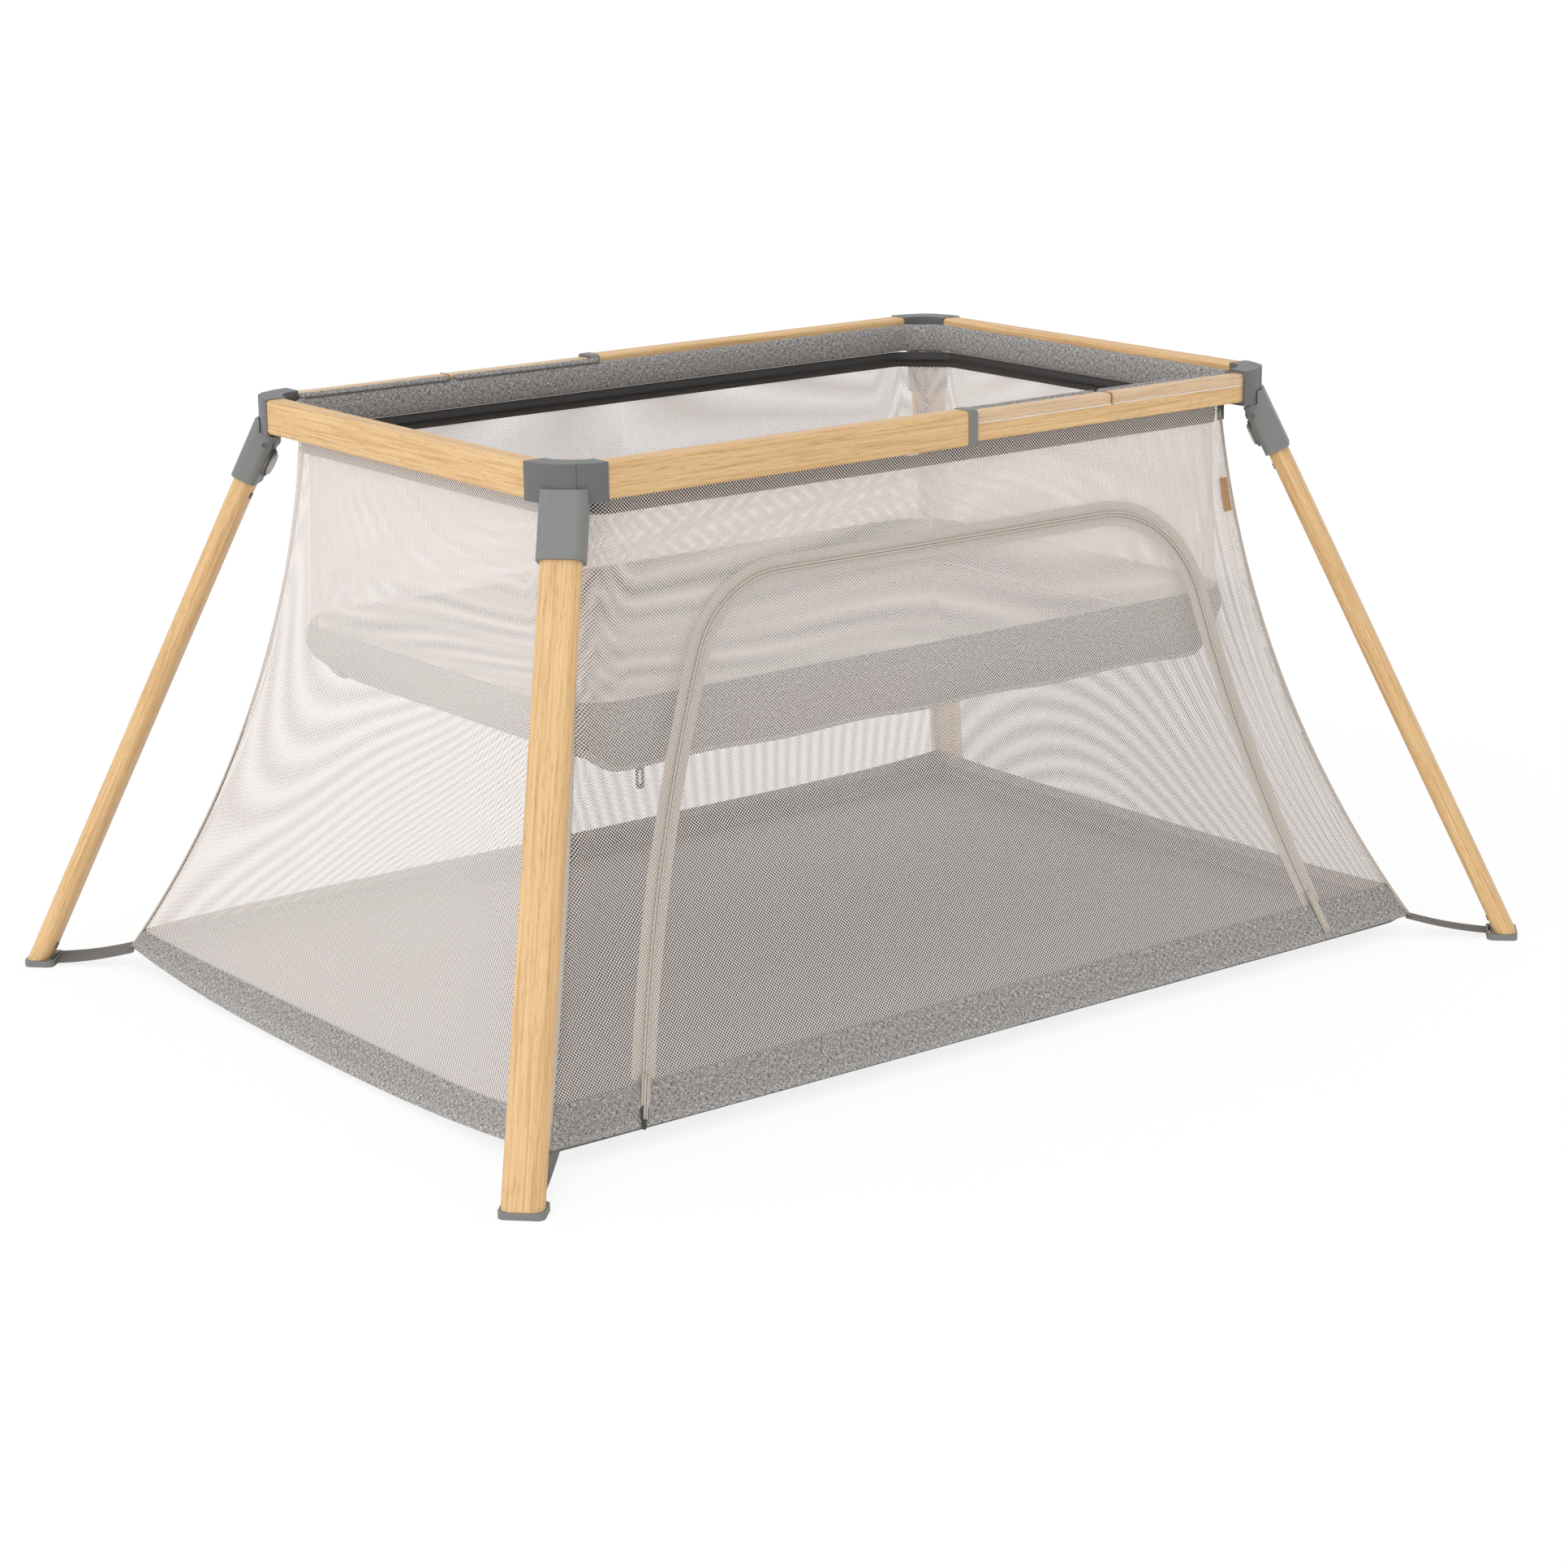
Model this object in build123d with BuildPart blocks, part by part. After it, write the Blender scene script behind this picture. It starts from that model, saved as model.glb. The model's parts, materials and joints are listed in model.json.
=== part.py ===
"""Travel playpen: a telescoping wood-effect frame on four folding splayed legs,
a see-through mesh tent with a zipped door, and a bassinet zipped in under the rails.

Millimetres, +Z up. Origin: floor level, under the middle of the frame.
+X runs along the long rails, the zipped door faces -Y.
"""
import math
import os

from build123d import *

# Top frame
frame_length = 965.0
frame_width = 612.0
frame_height = 650.0
corner_radius = 58.0
rail_height = 36.7
rail_depth = 24.0
rail_wall = 1.4
rail_round = 4.0

# Telescoping halves of the long rails
collar_start = 28.0
collar_length = 12.0
collar_proud = 1.0
slim_height = 31.0
slim_depth = 18.0
slim_wall = 1.2
slim_round = 3.0
slim_overlap = 103.0
plug_length = 12.0
plug_spigot = 14.0
plug_clearance = 0.15

# Clear strips clipped over the slim halves
strip_start_gap = 1.0
strip_wall = 0.9
strip_skirt = 12.0
strip_break = 3.5
strip_notch_pitch = 50.0
strip_notch_width = 1.5
strip_notch_height = 6.0

# Rail lock buttons
lock_from_collar = 66.0
lock_length = 16.0
lock_width = 7.0
lock_flange = 1.2
lock_flange_rim = 1.5
lock_travel = 2.25
lock_clearance = 0.25

# Corner hubs
hub_proud = 1.0
hub_block_width = 26.0
hub_block_proud = 0.6
hub_seam = 0.15
hub_edge_round = 1.2
spigot_length = 30.0
spigot_clearance = 0.3

# Leg hinge
leg_splay = 26.0
pin_radius = 3.0
pin_running_gap = 0.05
pin_from_centre = 50.0
pin_below_hub = 13.3
pin_length = 45.0
barrel_radius = 8.0
barrel_width = 24.0
neck_width = 12.0
hinge_gap = 0.4

# Leg sockets
socket_width = 48.0
socket_inner = 14.0
socket_outer = 14.5
socket_round = 9.0
socket_below_pin = 48.0
socket_above_pin = 11.0
socket_ear_above_hub = 14.7
socket_ear_inset = 7.0
socket_sleeve = 10.0
socket_spigot = 37.0
hub_clearance = 0.5
axis_to_pin = 8.1

# Leg tubes and feet
leg_width = 42.0
leg_thickness = 22.0
leg_wall = 1.5
leg_fit = 0.15
foot_height = 7.0
foot_rim = 1.6
foot_lip = 8.0
foot_plug = 30.0
foot_slot_length = 30.0
foot_slot_width = 3.0
foot_slot_edge = 2.0

# Leg release buttons and screws
button_radius = 12.5
button_below_pin = 22.0
button_base_radius = 16.0
button_base_height = 2.5
button_proud = 4.0
button_disc = 7.0
button_stem_radius = 4.0
button_stem = 9.5
button_travel = 3.0
button_gap = 0.3
screw_head_radius = 3.5
screw_head_height = 1.6
screw_shank_radius = 1.75
screw_length = 7.0
upper_screw_below_pin = 65.0
lower_screw_above_floor = 28.0

# Mesh tent
cloth = 2.0
seam = 0.3
tent_inset = 2.0
tent_flare = 148.5
tent_hem = 2.0
tent_corner_reach = 11.7
tent_corner_bow = 15.5
skirt_height = 55.0
mat_thickness = 8.0
piping_width = 9.0
piping_thickness = 2.0

# Zipped door in the front wall
door_foot_from_left = 138.0
door_foot_from_right = 149.0
door_head_from_left = 176.0
door_head_from_right = 107.5
door_head_drop = 99.0
door_round_left = 113.0
door_round_right = 140.0
zip_tape = 13.0
zip_gap = 0.4
slider_length = 15.0
slider_width = 9.0
slider_thickness = 3.5
slider_above_hem = 11.0
slider_pull = 9.0

# Band, liner zip and bassinet
band_height = 32.0
band_thickness = 8.0
band_corner_gap = 10.7
band_below_top = 6.7
liner_zip_height = 18.0
liner_zip_thickness = 1.6
liner_zip_corner_reach = 12.0
bassinet_depth = 258.0
tub_height = 70.0
bassinet_taper_length = 8.0
bassinet_taper_width = 5.0
bassinet_corner_gap = 4.4
bassinet_bottom_round = 60.0
mattress_thickness = 18.0
mattress_round = 6.0
mattress_margin = 6.0
tab_length = 30.0
tab_width = 9.0
tab_thickness = 2.0
tab_from_end = 87.0
tab_from_side = 20.0
bail_radius = 1.2
bail_gap = 0.1

# Straps and label
strap_width = 27.0
strap_thickness = 1.8
label_width = 12.0
label_height = 38.0
label_thickness = 1.0
label_drop = 99.0

# Derived places
half_length = frame_length / 2
half_width = frame_width / 2
rail_bottom = frame_height - rail_height
rail_middle = frame_height - rail_height / 2
rail_axis_y = half_width - rail_depth / 2
rail_axis_x = half_length - rail_depth / 2
corner_x = half_length - corner_radius
corner_y = half_width - corner_radius
hub_bottom = rail_bottom - hub_proud
hub_height = rail_height + 2 * hub_proud
hub_outer = corner_radius + hub_proud
hub_inner = corner_radius - rail_depth - hub_proud
pin_height = hub_bottom - pin_below_hub
collar_end = collar_start + collar_length
slim_start = collar_start - slim_overlap
lock_place = collar_start - lock_from_collar
lock_proud = lock_travel + lock_clearance
corner_offset = half_length - half_width
band_bottom = frame_height - band_below_top - band_height
tent_top = band_bottom - seam
liner_zip_bottom = tent_top - liner_zip_height
bassinet_top = liner_zip_bottom - seam
bassinet_bottom = bassinet_top - bassinet_depth
mesh_bottom = tent_hem + skirt_height + seam

# Derived sizes of the cloth pieces, each hung inside the one before it
corner_sum = corner_x + corner_y
tent_top_length = frame_length - 2 * (rail_depth + collar_proud + tent_inset)
tent_top_width = frame_width - 2 * (rail_depth + collar_proud + tent_inset)
tent_bottom_length = tent_top_length + 2 * tent_flare
tent_bottom_width = tent_top_width + 2 * tent_flare
tent_corner_top = corner_sum / math.sqrt(2) + tent_corner_reach
tent_corner_bottom = (tent_bottom_length + tent_bottom_width) / 2 / math.sqrt(2)
door_foot_left = -tent_bottom_length / 2 + door_foot_from_left
door_foot_right = tent_bottom_length / 2 - door_foot_from_right
door_head_left = -tent_top_length / 2 + door_head_from_left
door_head_right = tent_top_length / 2 - door_head_from_right
door_head = tent_top - door_head_drop
band_corner = corner_sum + (hub_inner - band_corner_gap) * math.sqrt(2)
liner_length = tent_top_length - 2 * (cloth + 2 * seam)
liner_width = tent_top_width - 2 * (cloth + 2 * seam)
liner_zip_corner = corner_sum + liner_zip_corner_reach
bassinet_corner = liner_zip_corner - bassinet_corner_gap
bassinet_top_round = ((liner_length + liner_width) / 2 - bassinet_corner) / (2 - math.sqrt(2))
bassinet_bottom_length = liner_length - 2 * bassinet_taper_length
bassinet_bottom_width = liner_width - 2 * bassinet_taper_width
label_middle = tent_top - label_drop

# Derived places along a leg
splay = math.radians(leg_splay)
axis_u = pin_from_centre + axis_to_pin * math.cos(splay)
axis_z = pin_height + axis_to_pin * math.sin(splay)
floor_along_leg = -axis_z / math.cos(splay)
tube_top = -socket_below_pin + socket_sleeve
foot_u = axis_u + (axis_z - foot_height) * math.tan(splay)
foot_half = leg_thickness / 2 / math.cos(splay)
lip_edge = foot_u - foot_half - foot_lip

# Reach of a cutting block, past everything
far = 2000.0

CORNERS = {
    "front_left": (-1, -1),
    "front_right": (1, -1),
    "back_left": (-1, 1),
    "back_right": (1, 1),
}
SIDES = {"front": -1, "back": 1}
ENDS = {"left": -1, "right": 1}


def save(piece, name):
    """Label one finished piece and write it as its own file."""
    piece.label = name
    export_step(piece, f"parts/{name}.step")


# Planes that place the repeated pieces


def outward(corner):
    """Unit vector from the middle of the frame out along a corner's diagonal."""
    sx, sy = CORNERS[corner]
    return Vector(sx, sy, 0).normalized()


def arc_centre(corner, height=0.0):
    sx, sy = CORNERS[corner]
    return Vector(sx * corner_x, sy * corner_y, height)


def plan_plane(corner, height):
    """Plan of a corner: x outward along its diagonal, origin at the corner arc's centre."""
    return Plane(arc_centre(corner, height), x_dir=outward(corner), z_dir=(0, 0, 1))


def side_plane(corner):
    """Upright diagonal plane of a corner: x outward, y up, origin at floor level."""
    out = outward(corner)
    return Plane(arc_centre(corner), x_dir=out, z_dir=out.cross(Vector(0, 0, 1)))


def leg_plane(corner, along=0.0):
    """Cross-section of a leg: x towards its outer side, z up along it."""
    out = outward(corner)
    up = Vector(0, 0, 1)
    normal = out * math.cos(splay) + up * math.sin(splay)
    axis = up * math.cos(splay) - out * math.sin(splay)
    start = arc_centre(corner, axis_z) + out * axis_u + axis * along
    return Plane(start, x_dir=normal, z_dir=axis)


def leg_side_plane(corner):
    """Upright plane through a leg: x towards its outer side, y up along it."""
    base = leg_plane(corner)
    return Plane(base.origin, x_dir=base.x_dir, z_dir=base.x_dir.cross(base.z_dir))


def inner_face_plane(corner, along, depth):
    """Plane across a leg's thickness, facing its outer side, at a depth from the leg's middle."""
    base = leg_plane(corner, along)
    return Plane(base.origin + base.x_dir * depth, x_dir=base.y_dir, z_dir=base.x_dir)


def long_rail_plane(side, along):
    """Section of a long rail: x inward, y up; it looks from the thick half to the slim one."""
    start = (-side * along, side * rail_axis_y, rail_middle)
    return Plane(start, x_dir=(0, -side, 0), z_dir=(-side, 0, 0))


def end_rail_plane(end, along):
    return Plane((end * rail_axis_x, along, rail_middle), x_dir=(-1, 0, 0), z_dir=(0, 1, 0))


# Rails


def rounded(width, height, radius, mode=Mode.ADD):
    RectangleRounded(width, height, min(radius, 0.49 * min(width, height)), mode=mode)


def rail_ring(grow, wall):
    """Tube section that stands proud of the rail by grow, inside the current sketch."""
    rounded(rail_depth + 2 * grow, rail_height + 2 * grow, rail_round + grow)
    inset = 2 * (grow - wall)
    rounded(rail_depth + inset, rail_height + inset, rail_round + grow - wall, Mode.SUBTRACT)


def thick_rail(side):
    """Outer half of a long rail, with the lock button's hole in its underside."""
    with BuildPart() as rail:
        with BuildSketch(long_rail_plane(side, -corner_x)):
            rail_ring(0, rail_wall)
        extrude(amount=corner_x + collar_end - rail_wall)
        with BuildSketch(Plane((-side * lock_place, side * rail_axis_y, rail_bottom))):
            SlotOverall(lock_length + 2 * lock_clearance, lock_width + 2 * lock_clearance)
        extrude(amount=rail_wall, mode=Mode.SUBTRACT)
    return rail.part


def end_rail(end):
    with BuildPart() as rail:
        with BuildSketch(end_rail_plane(end, -corner_y)):
            rail_ring(0, rail_wall)
        extrude(amount=2 * corner_y)
    return rail.part


def slim_rail(side):
    """Inner half of a long rail, with a hole above the lock button."""
    hole_rim = lock_flange_rim + 2 * lock_clearance
    with BuildPart() as rail:
        with BuildSketch(long_rail_plane(side, slim_start)):
            rounded(slim_depth, slim_height, slim_round)
            bore_height = slim_height - 2 * slim_wall
            rounded(slim_depth - 2 * slim_wall, bore_height, slim_round - slim_wall, Mode.SUBTRACT)
        extrude(amount=corner_x - slim_start)
        slim_bottom = rail_middle - slim_height / 2
        with BuildSketch(Plane((-side * lock_place, side * rail_axis_y, slim_bottom))):
            SlotOverall(lock_length + 2 * hole_rim, lock_width + 2 * hole_rim)
        extrude(amount=slim_wall, mode=Mode.SUBTRACT)
    return rail.part


def rail_collar(side):
    """Ring over the thick tube's end, with a lip across its wall."""
    with BuildPart() as collar:
        with BuildSketch(long_rail_plane(side, collar_start)):
            rail_ring(collar_proud, collar_proud - plug_clearance)
        extrude(amount=collar_length)
        with BuildSketch(long_rail_plane(side, collar_end - rail_wall + plug_clearance)):
            rail_ring(collar_proud, collar_proud + rail_wall)
        extrude(amount=rail_wall - plug_clearance)
    return collar.part


def glide_plug(side):
    """Plastic plug in the slim tube's end, which guides it in the thick tube's bore."""
    with BuildPart() as plug:
        with BuildSketch(long_rail_plane(side, slim_start - plug_length)):
            inset = 2 * (rail_wall + plug_clearance)
            rounded(rail_depth - inset, rail_height - inset, rail_round - rail_wall)
        extrude(amount=plug_length)
        with BuildSketch(long_rail_plane(side, slim_start)):
            inset = 2 * (slim_wall + plug_clearance)
            rounded(slim_depth - inset, slim_height - inset, slim_round - slim_wall)
        extrude(amount=plug_spigot)
    return plug.part


def glide_strips(side):
    """Two clear clip strips over the top of the slim tube, notched along their inner edge."""
    start = collar_end + strip_start_gap
    reach = corner_x - strip_start_gap - start
    skirt_bottom = slim_height / 2 - strip_skirt
    with BuildPart() as strips:
        with BuildSketch(long_rail_plane(side, start)):
            grow = 2 * (strip_wall + seam / 2)
            rounded(slim_depth + grow, slim_height + grow, slim_round + strip_wall)
            rounded(slim_depth + seam, slim_height + seam, slim_round, Mode.SUBTRACT)
            with Locations((0, skirt_bottom - slim_height)):
                Rectangle(2 * slim_depth, 2 * slim_height, mode=Mode.SUBTRACT)
        extrude(amount=reach)
        middle = long_rail_plane(side, start + reach / 2)
        with BuildSketch(middle):
            Rectangle(2 * rail_depth, 2 * rail_height)
        extrude(amount=strip_break / 2, both=True, mode=Mode.SUBTRACT)
        notches = int(reach // strip_notch_pitch)
        for notch in range(notches):
            along = start + (notch + 0.5) * reach / notches
            with BuildSketch(long_rail_plane(side, along)):
                with Locations((slim_depth / 2, skirt_bottom + strip_notch_height / 2)):
                    Rectangle(4 * strip_wall, strip_notch_height)
            extrude(amount=strip_notch_width, mode=Mode.SUBTRACT)
    return strips.part


def lock_button(side):
    """Press button through the thick rail's underside, with a flange inside the bore."""
    place = (-side * lock_place, side * rail_axis_y, rail_bottom - lock_proud)
    flange_bottom = rail_bottom + rail_wall + plug_clearance / 3
    with BuildPart() as button:
        with BuildSketch(Plane(place)):
            SlotOverall(lock_length, lock_width)
        extrude(amount=flange_bottom - place[2])
        fillet(button.faces().sort_by(Axis.Z)[0].edges(), lock_proud / 3)
        with BuildSketch(Plane((place[0], place[1], flange_bottom))):
            SlotOverall(lock_length + 2 * lock_flange_rim, lock_width + 2 * lock_flange_rim)
        extrude(amount=lock_flange)
    return button.part


# Corner hubs and legs


def spigot_section(depth, height, radius, wall):
    """Section that fits inside a tube of the given outside size, in the current sketch."""
    inset = wall + spigot_clearance
    rounded(depth - 2 * inset, height - 2 * inset, radius - wall)


def corner_hub(corner):
    """Two curved wings with spigots for the rails, and the centre block with the hinge barrel."""
    sx, sy = CORNERS[corner]
    root = hub_proud
    with BuildPart() as hub:
        with BuildSketch(plan_plane(corner, hub_bottom)):
            Circle(hub_outer)
            Circle(hub_inner, mode=Mode.SUBTRACT)
            with BuildLine():
                Polyline((0, 0), (far, far), (far, -far), close=True)
            make_face(mode=Mode.INTERSECT)
            Rectangle(far, hub_block_width + 2 * hub_seam, mode=Mode.SUBTRACT)
        extrude(amount=hub_height)
        fillet(hub.faces().sort_by(Axis.Z)[-2:].edges().filter_by(GeomType.CIRCLE), hub_edge_round)
        thick_end = sx * sy > 0
        way = 1 if thick_end else -1
        with BuildSketch(long_rail_plane(sy, -way * (corner_x + root))):
            if thick_end:
                spigot_section(rail_depth, rail_height, rail_round, rail_wall)
            else:
                spigot_section(slim_depth, slim_height, slim_round, slim_wall)
        extrude(amount=way * (spigot_length + root))
        with BuildSketch(end_rail_plane(sx, sy * (corner_y + root))):
            spigot_section(rail_depth, rail_height, rail_round, rail_wall)
        extrude(amount=-sy * (spigot_length + root))
        with BuildSketch(plan_plane(corner, hub_bottom)):
            Circle(hub_outer + hub_block_proud)
            Circle(hub_inner, mode=Mode.SUBTRACT)
            with Locations((far / 2, 0)):
                Rectangle(far, hub_block_width, mode=Mode.INTERSECT)
        extrude(amount=hub_height)
        with BuildSketch(side_plane(corner)):
            with Locations((pin_from_centre, pin_height)):
                Circle(barrel_radius)
            with Locations((pin_from_centre, pin_height + pin_below_hub / 2)):
                Rectangle(neck_width, pin_below_hub)
        extrude(amount=barrel_width / 2, both=True)
        with BuildSketch(side_plane(corner)):
            with Locations((pin_from_centre, pin_height)):
                Circle(pin_radius + pin_running_gap)
        extrude(amount=barrel_width, both=True, mode=Mode.SUBTRACT)
    return hub.part


def pivot_pins(end):
    """The two hinge pins of one end of the frame."""
    with BuildPart() as pins:
        for corner, (sx, sy) in CORNERS.items():
            if sx == end:
                with BuildSketch(side_plane(corner)):
                    with Locations((pin_from_centre, pin_height)):
                        Circle(pin_radius)
                extrude(amount=pin_length / 2, both=True)
    return pins.part


def leg_socket(corner):
    """Socket hinged under the hub: forked round the barrel, with an ear outside the hub."""
    pin_side = -axis_to_pin
    thickness = socket_inner + socket_outer
    swing = math.hypot(neck_width / 2, pin_below_hub) + hinge_gap
    with BuildPart() as socket:
        with BuildSketch(leg_plane(corner, -socket_below_pin)):
            with Locations(((socket_outer - socket_inner) / 2, 0)):
                rounded(thickness, socket_width, socket_round)
        extrude(amount=socket_below_pin + frame_height - pin_height)
        with BuildSketch(plan_plane(corner, hub_bottom + socket_ear_above_hub)):
            Rectangle(far, far)
        extrude(amount=far, mode=Mode.SUBTRACT)
        with BuildSketch(plan_plane(corner, hub_bottom - hub_clearance)):
            Circle(hub_outer + hub_block_proud + hinge_gap)
        extrude(amount=far, mode=Mode.SUBTRACT)
        with BuildSketch(leg_side_plane(corner)):
            with Locations((pin_side + socket_ear_inset - thickness / 2, socket_above_pin + far / 2)):
                Rectangle(thickness, far)
        extrude(amount=socket_width, both=True, mode=Mode.SUBTRACT)
        with BuildSketch(leg_side_plane(corner)):
            with Locations((pin_side, 0)):
                Circle(swing)
            with Locations((pin_side - swing / 2, 0)):
                Rectangle(swing, 2 * swing, mode=Mode.SUBTRACT)
            with Locations((pin_side, 0)):
                Circle(barrel_radius + hinge_gap)
            with Locations((pin_side - thickness / 2, thickness / 2)):
                Rectangle(thickness, thickness)
        extrude(amount=barrel_width / 2 + hinge_gap, both=True, mode=Mode.SUBTRACT)
        with BuildSketch(leg_side_plane(corner)):
            with Locations((pin_side, 0)):
                Circle(pin_radius + pin_running_gap)
        extrude(amount=socket_width, both=True, mode=Mode.SUBTRACT)
        with BuildSketch(leg_plane(corner, -socket_below_pin)):
            SlotOverall(leg_width + 2 * leg_fit, leg_thickness + 2 * leg_fit, rotation=90)
        extrude(amount=socket_sleeve + leg_fit, mode=Mode.SUBTRACT)
        with BuildSketch(leg_plane(corner, tube_top + 2 * leg_fit)):
            inset = 2 * (leg_wall + leg_fit)
            SlotOverall(leg_width - inset, leg_thickness - inset, rotation=90)
        extrude(amount=-socket_spigot)
        button_face = inner_face_plane(corner, -button_below_pin, -socket_inner - button_base_height)
        with BuildSketch(button_face):
            Circle(button_base_radius)
        extrude(amount=button_base_height)
        with BuildSketch(button_face):
            Circle(button_radius + button_gap)
        pocket = button_disc - button_proud + button_travel + button_gap
        extrude(amount=pocket, mode=Mode.SUBTRACT)
        with BuildSketch(inner_face_plane(corner, -button_below_pin, -socket_inner)):
            Circle(button_stem_radius + button_gap)
        extrude(amount=button_disc + button_stem, mode=Mode.SUBTRACT)
        with BuildSketch(inner_face_plane(corner, -upper_screw_below_pin, -leg_thickness)):
            Circle(screw_shank_radius)
        extrude(amount=leg_thickness, mode=Mode.SUBTRACT)
    return socket.part


def release_button(corner):
    """Round press button on the socket's inner face, with a guide stem."""
    face = -socket_inner - button_base_height - button_proud
    with BuildPart() as button:
        with BuildSketch(inner_face_plane(corner, -button_below_pin, face)):
            Circle(button_radius)
        extrude(amount=button_disc)
        inward = inner_face_plane(corner, -button_below_pin, face)
        front = button.faces().filter_by(GeomType.PLANE).sort_by(Axis(inward.origin, inward.z_dir))[0]
        fillet(front.edges(), button_proud / 3)
        with BuildSketch(inner_face_plane(corner, -button_below_pin, face + button_disc)):
            Circle(button_stem_radius)
        extrude(amount=button_stem)
    return button.part


def screw_places():
    """Distances along a leg of its two screws: one in the socket's spigot, one in the foot's plug."""
    return (-upper_screw_below_pin, floor_along_leg + lower_screw_above_floor)


def leg_tube(corner):
    """Flat oval tube from the socket down to the foot, cut level with the floor."""
    with BuildPart() as tube:
        with BuildSketch(leg_plane(corner, floor_along_leg - leg_thickness)):
            SlotOverall(leg_width, leg_thickness, rotation=90)
            bore = (leg_width - 2 * leg_wall, leg_thickness - 2 * leg_wall)
            SlotOverall(*bore, rotation=90, mode=Mode.SUBTRACT)
        extrude(amount=tube_top - floor_along_leg + leg_thickness)
        with BuildSketch(plan_plane(corner, foot_height + leg_fit)):
            Rectangle(far, far)
        extrude(amount=-far, mode=Mode.SUBTRACT)
        for along in screw_places():
            with BuildSketch(inner_face_plane(corner, along, -leg_thickness)):
                Circle(screw_shank_radius + leg_fit)
            extrude(amount=leg_thickness, mode=Mode.SUBTRACT)
    return tube.part


def foot_cap(corner):
    """Flat foot with a plug up inside the tube and a slotted lip for the strap."""
    outer_edge = foot_u + foot_half + foot_rim
    with BuildPart() as cap:
        with BuildSketch(leg_plane(corner, floor_along_leg)):
            inset = 2 * (leg_wall + leg_fit)
            SlotOverall(leg_width - inset, leg_thickness - inset, rotation=90)
        extrude(amount=foot_plug + foot_height)
        with BuildSketch(inner_face_plane(corner, screw_places()[1], -leg_thickness)):
            Circle(screw_shank_radius)
        extrude(amount=leg_thickness, mode=Mode.SUBTRACT)
        with BuildSketch(plan_plane(corner, 0)):
            Rectangle(far, far)
        extrude(amount=-far, mode=Mode.SUBTRACT)
        with BuildSketch(plan_plane(corner, 0)):
            with Locations(((outer_edge + lip_edge) / 2, 0)):
                rounded(outer_edge - lip_edge, leg_width + 2 * foot_rim, leg_thickness / 3)
        extrude(amount=foot_height)
        with BuildSketch(plan_plane(corner, 0)):
            with Locations((lip_edge + foot_slot_edge + foot_slot_width / 2, 0)):
                Rectangle(foot_slot_width, foot_slot_length)
        extrude(amount=foot_height, mode=Mode.SUBTRACT)
    return cap.part


def leg_screws(corner):
    """The two screws on a leg's inner face."""
    head = -leg_thickness / 2 - screw_head_height - leg_fit / 2
    with BuildPart() as screws:
        for along in screw_places():
            with BuildSketch(inner_face_plane(corner, along, head)):
                Circle(screw_head_radius)
            extrude(amount=screw_head_height)
            with BuildSketch(inner_face_plane(corner, along, head + screw_head_height)):
                Circle(screw_shank_radius - leg_fit / 2)
            extrude(amount=screw_length)
    return screws.part


# Tent


def bowed_edge(top, bottom, bow):
    """Middle point of an arc between (top, tent_top) and (bottom, tent_hem), bowed inward."""
    run = bottom - top
    drop = tent_top - tent_hem
    chord = math.hypot(run, drop)
    depth = chord / 2 * math.tan(bow / 2)
    middle_out = (top + bottom) / 2
    middle_up = (tent_top + tent_hem) / 2
    return (middle_out - drop / chord * depth, middle_up - run / chord * depth)


def bowed_outline(top, bottom, bow, inset):
    """Closed outline of the tent seen along one direction, with both edges bowed inward."""
    top, bottom = top - inset, bottom - inset
    middle = bowed_edge(top, bottom, bow)
    with BuildLine() as outline:
        Line((-bottom, tent_hem), (bottom, tent_hem))
        ThreePointArc((bottom, tent_hem), middle, (top, tent_top))
        Line((top, tent_top), (-top, tent_top))
        ThreePointArc((-top, tent_top), (-middle[0], middle[1]), (-bottom, tent_hem))
    make_face(outline.edges())


def upright_bow(top, bottom):
    """Half angle of an arc that leaves the rail straight down."""
    return math.atan2(bottom - top, tent_top - tent_hem)


def tent_block(inset):
    """Solid that fills the tent, with its four corners flattened under the hubs."""
    diagonal = Plane((0, 0, 0), x_dir=(1, 1, 0), z_dir=(1, -1, 0))
    other_diagonal = Plane((0, 0, 0), x_dir=(1, -1, 0), z_dir=(-1, -1, 0))
    length_bow = upright_bow(tent_top_length / 2, tent_bottom_length / 2)
    width_bow = upright_bow(tent_top_width / 2, tent_bottom_width / 2)
    corner_bow = math.radians(tent_corner_bow)
    views = (
        (Plane.XZ, tent_top_length / 2, tent_bottom_length / 2, length_bow),
        (Plane.YZ, tent_top_width / 2, tent_bottom_width / 2, width_bow),
        (diagonal, tent_corner_top, tent_corner_bottom, corner_bow),
        (other_diagonal, tent_corner_top, tent_corner_bottom, corner_bow),
    )
    with BuildPart() as block:
        for number, (plane, top, bottom, bow) in enumerate(views):
            with BuildSketch(plane):
                bowed_outline(top, bottom, bow, inset)
            extrude(amount=far, both=True, mode=Mode.INTERSECT if number else Mode.ADD)
    return block.part


def quarter_outline(wall):
    """Plan region that belongs to one wall, cut along the tent's corner diagonals."""
    if wall in SIDES:
        way = SIDES[wall] * far
        reach = corner_offset + far
        points = ((-corner_offset, 0), (corner_offset, 0), (reach, way), (-reach, way))
    else:
        start = ENDS[wall] * (corner_offset + seam)
        reach = start + ENDS[wall] * far
        points = ((start, 0), (reach, far), (reach, -far))
    with BuildLine() as outline:
        Polyline(*points, close=True)
    make_face(outline.edges())


def wall_piece(shell, wall, low, high):
    """The part of a shell that belongs to one wall, between two heights."""
    with BuildPart() as piece:
        add(shell)
        with BuildSketch(Plane.XY.offset(low)):
            quarter_outline(wall)
        extrude(amount=high - low, mode=Mode.INTERSECT)
    return piece.part


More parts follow.
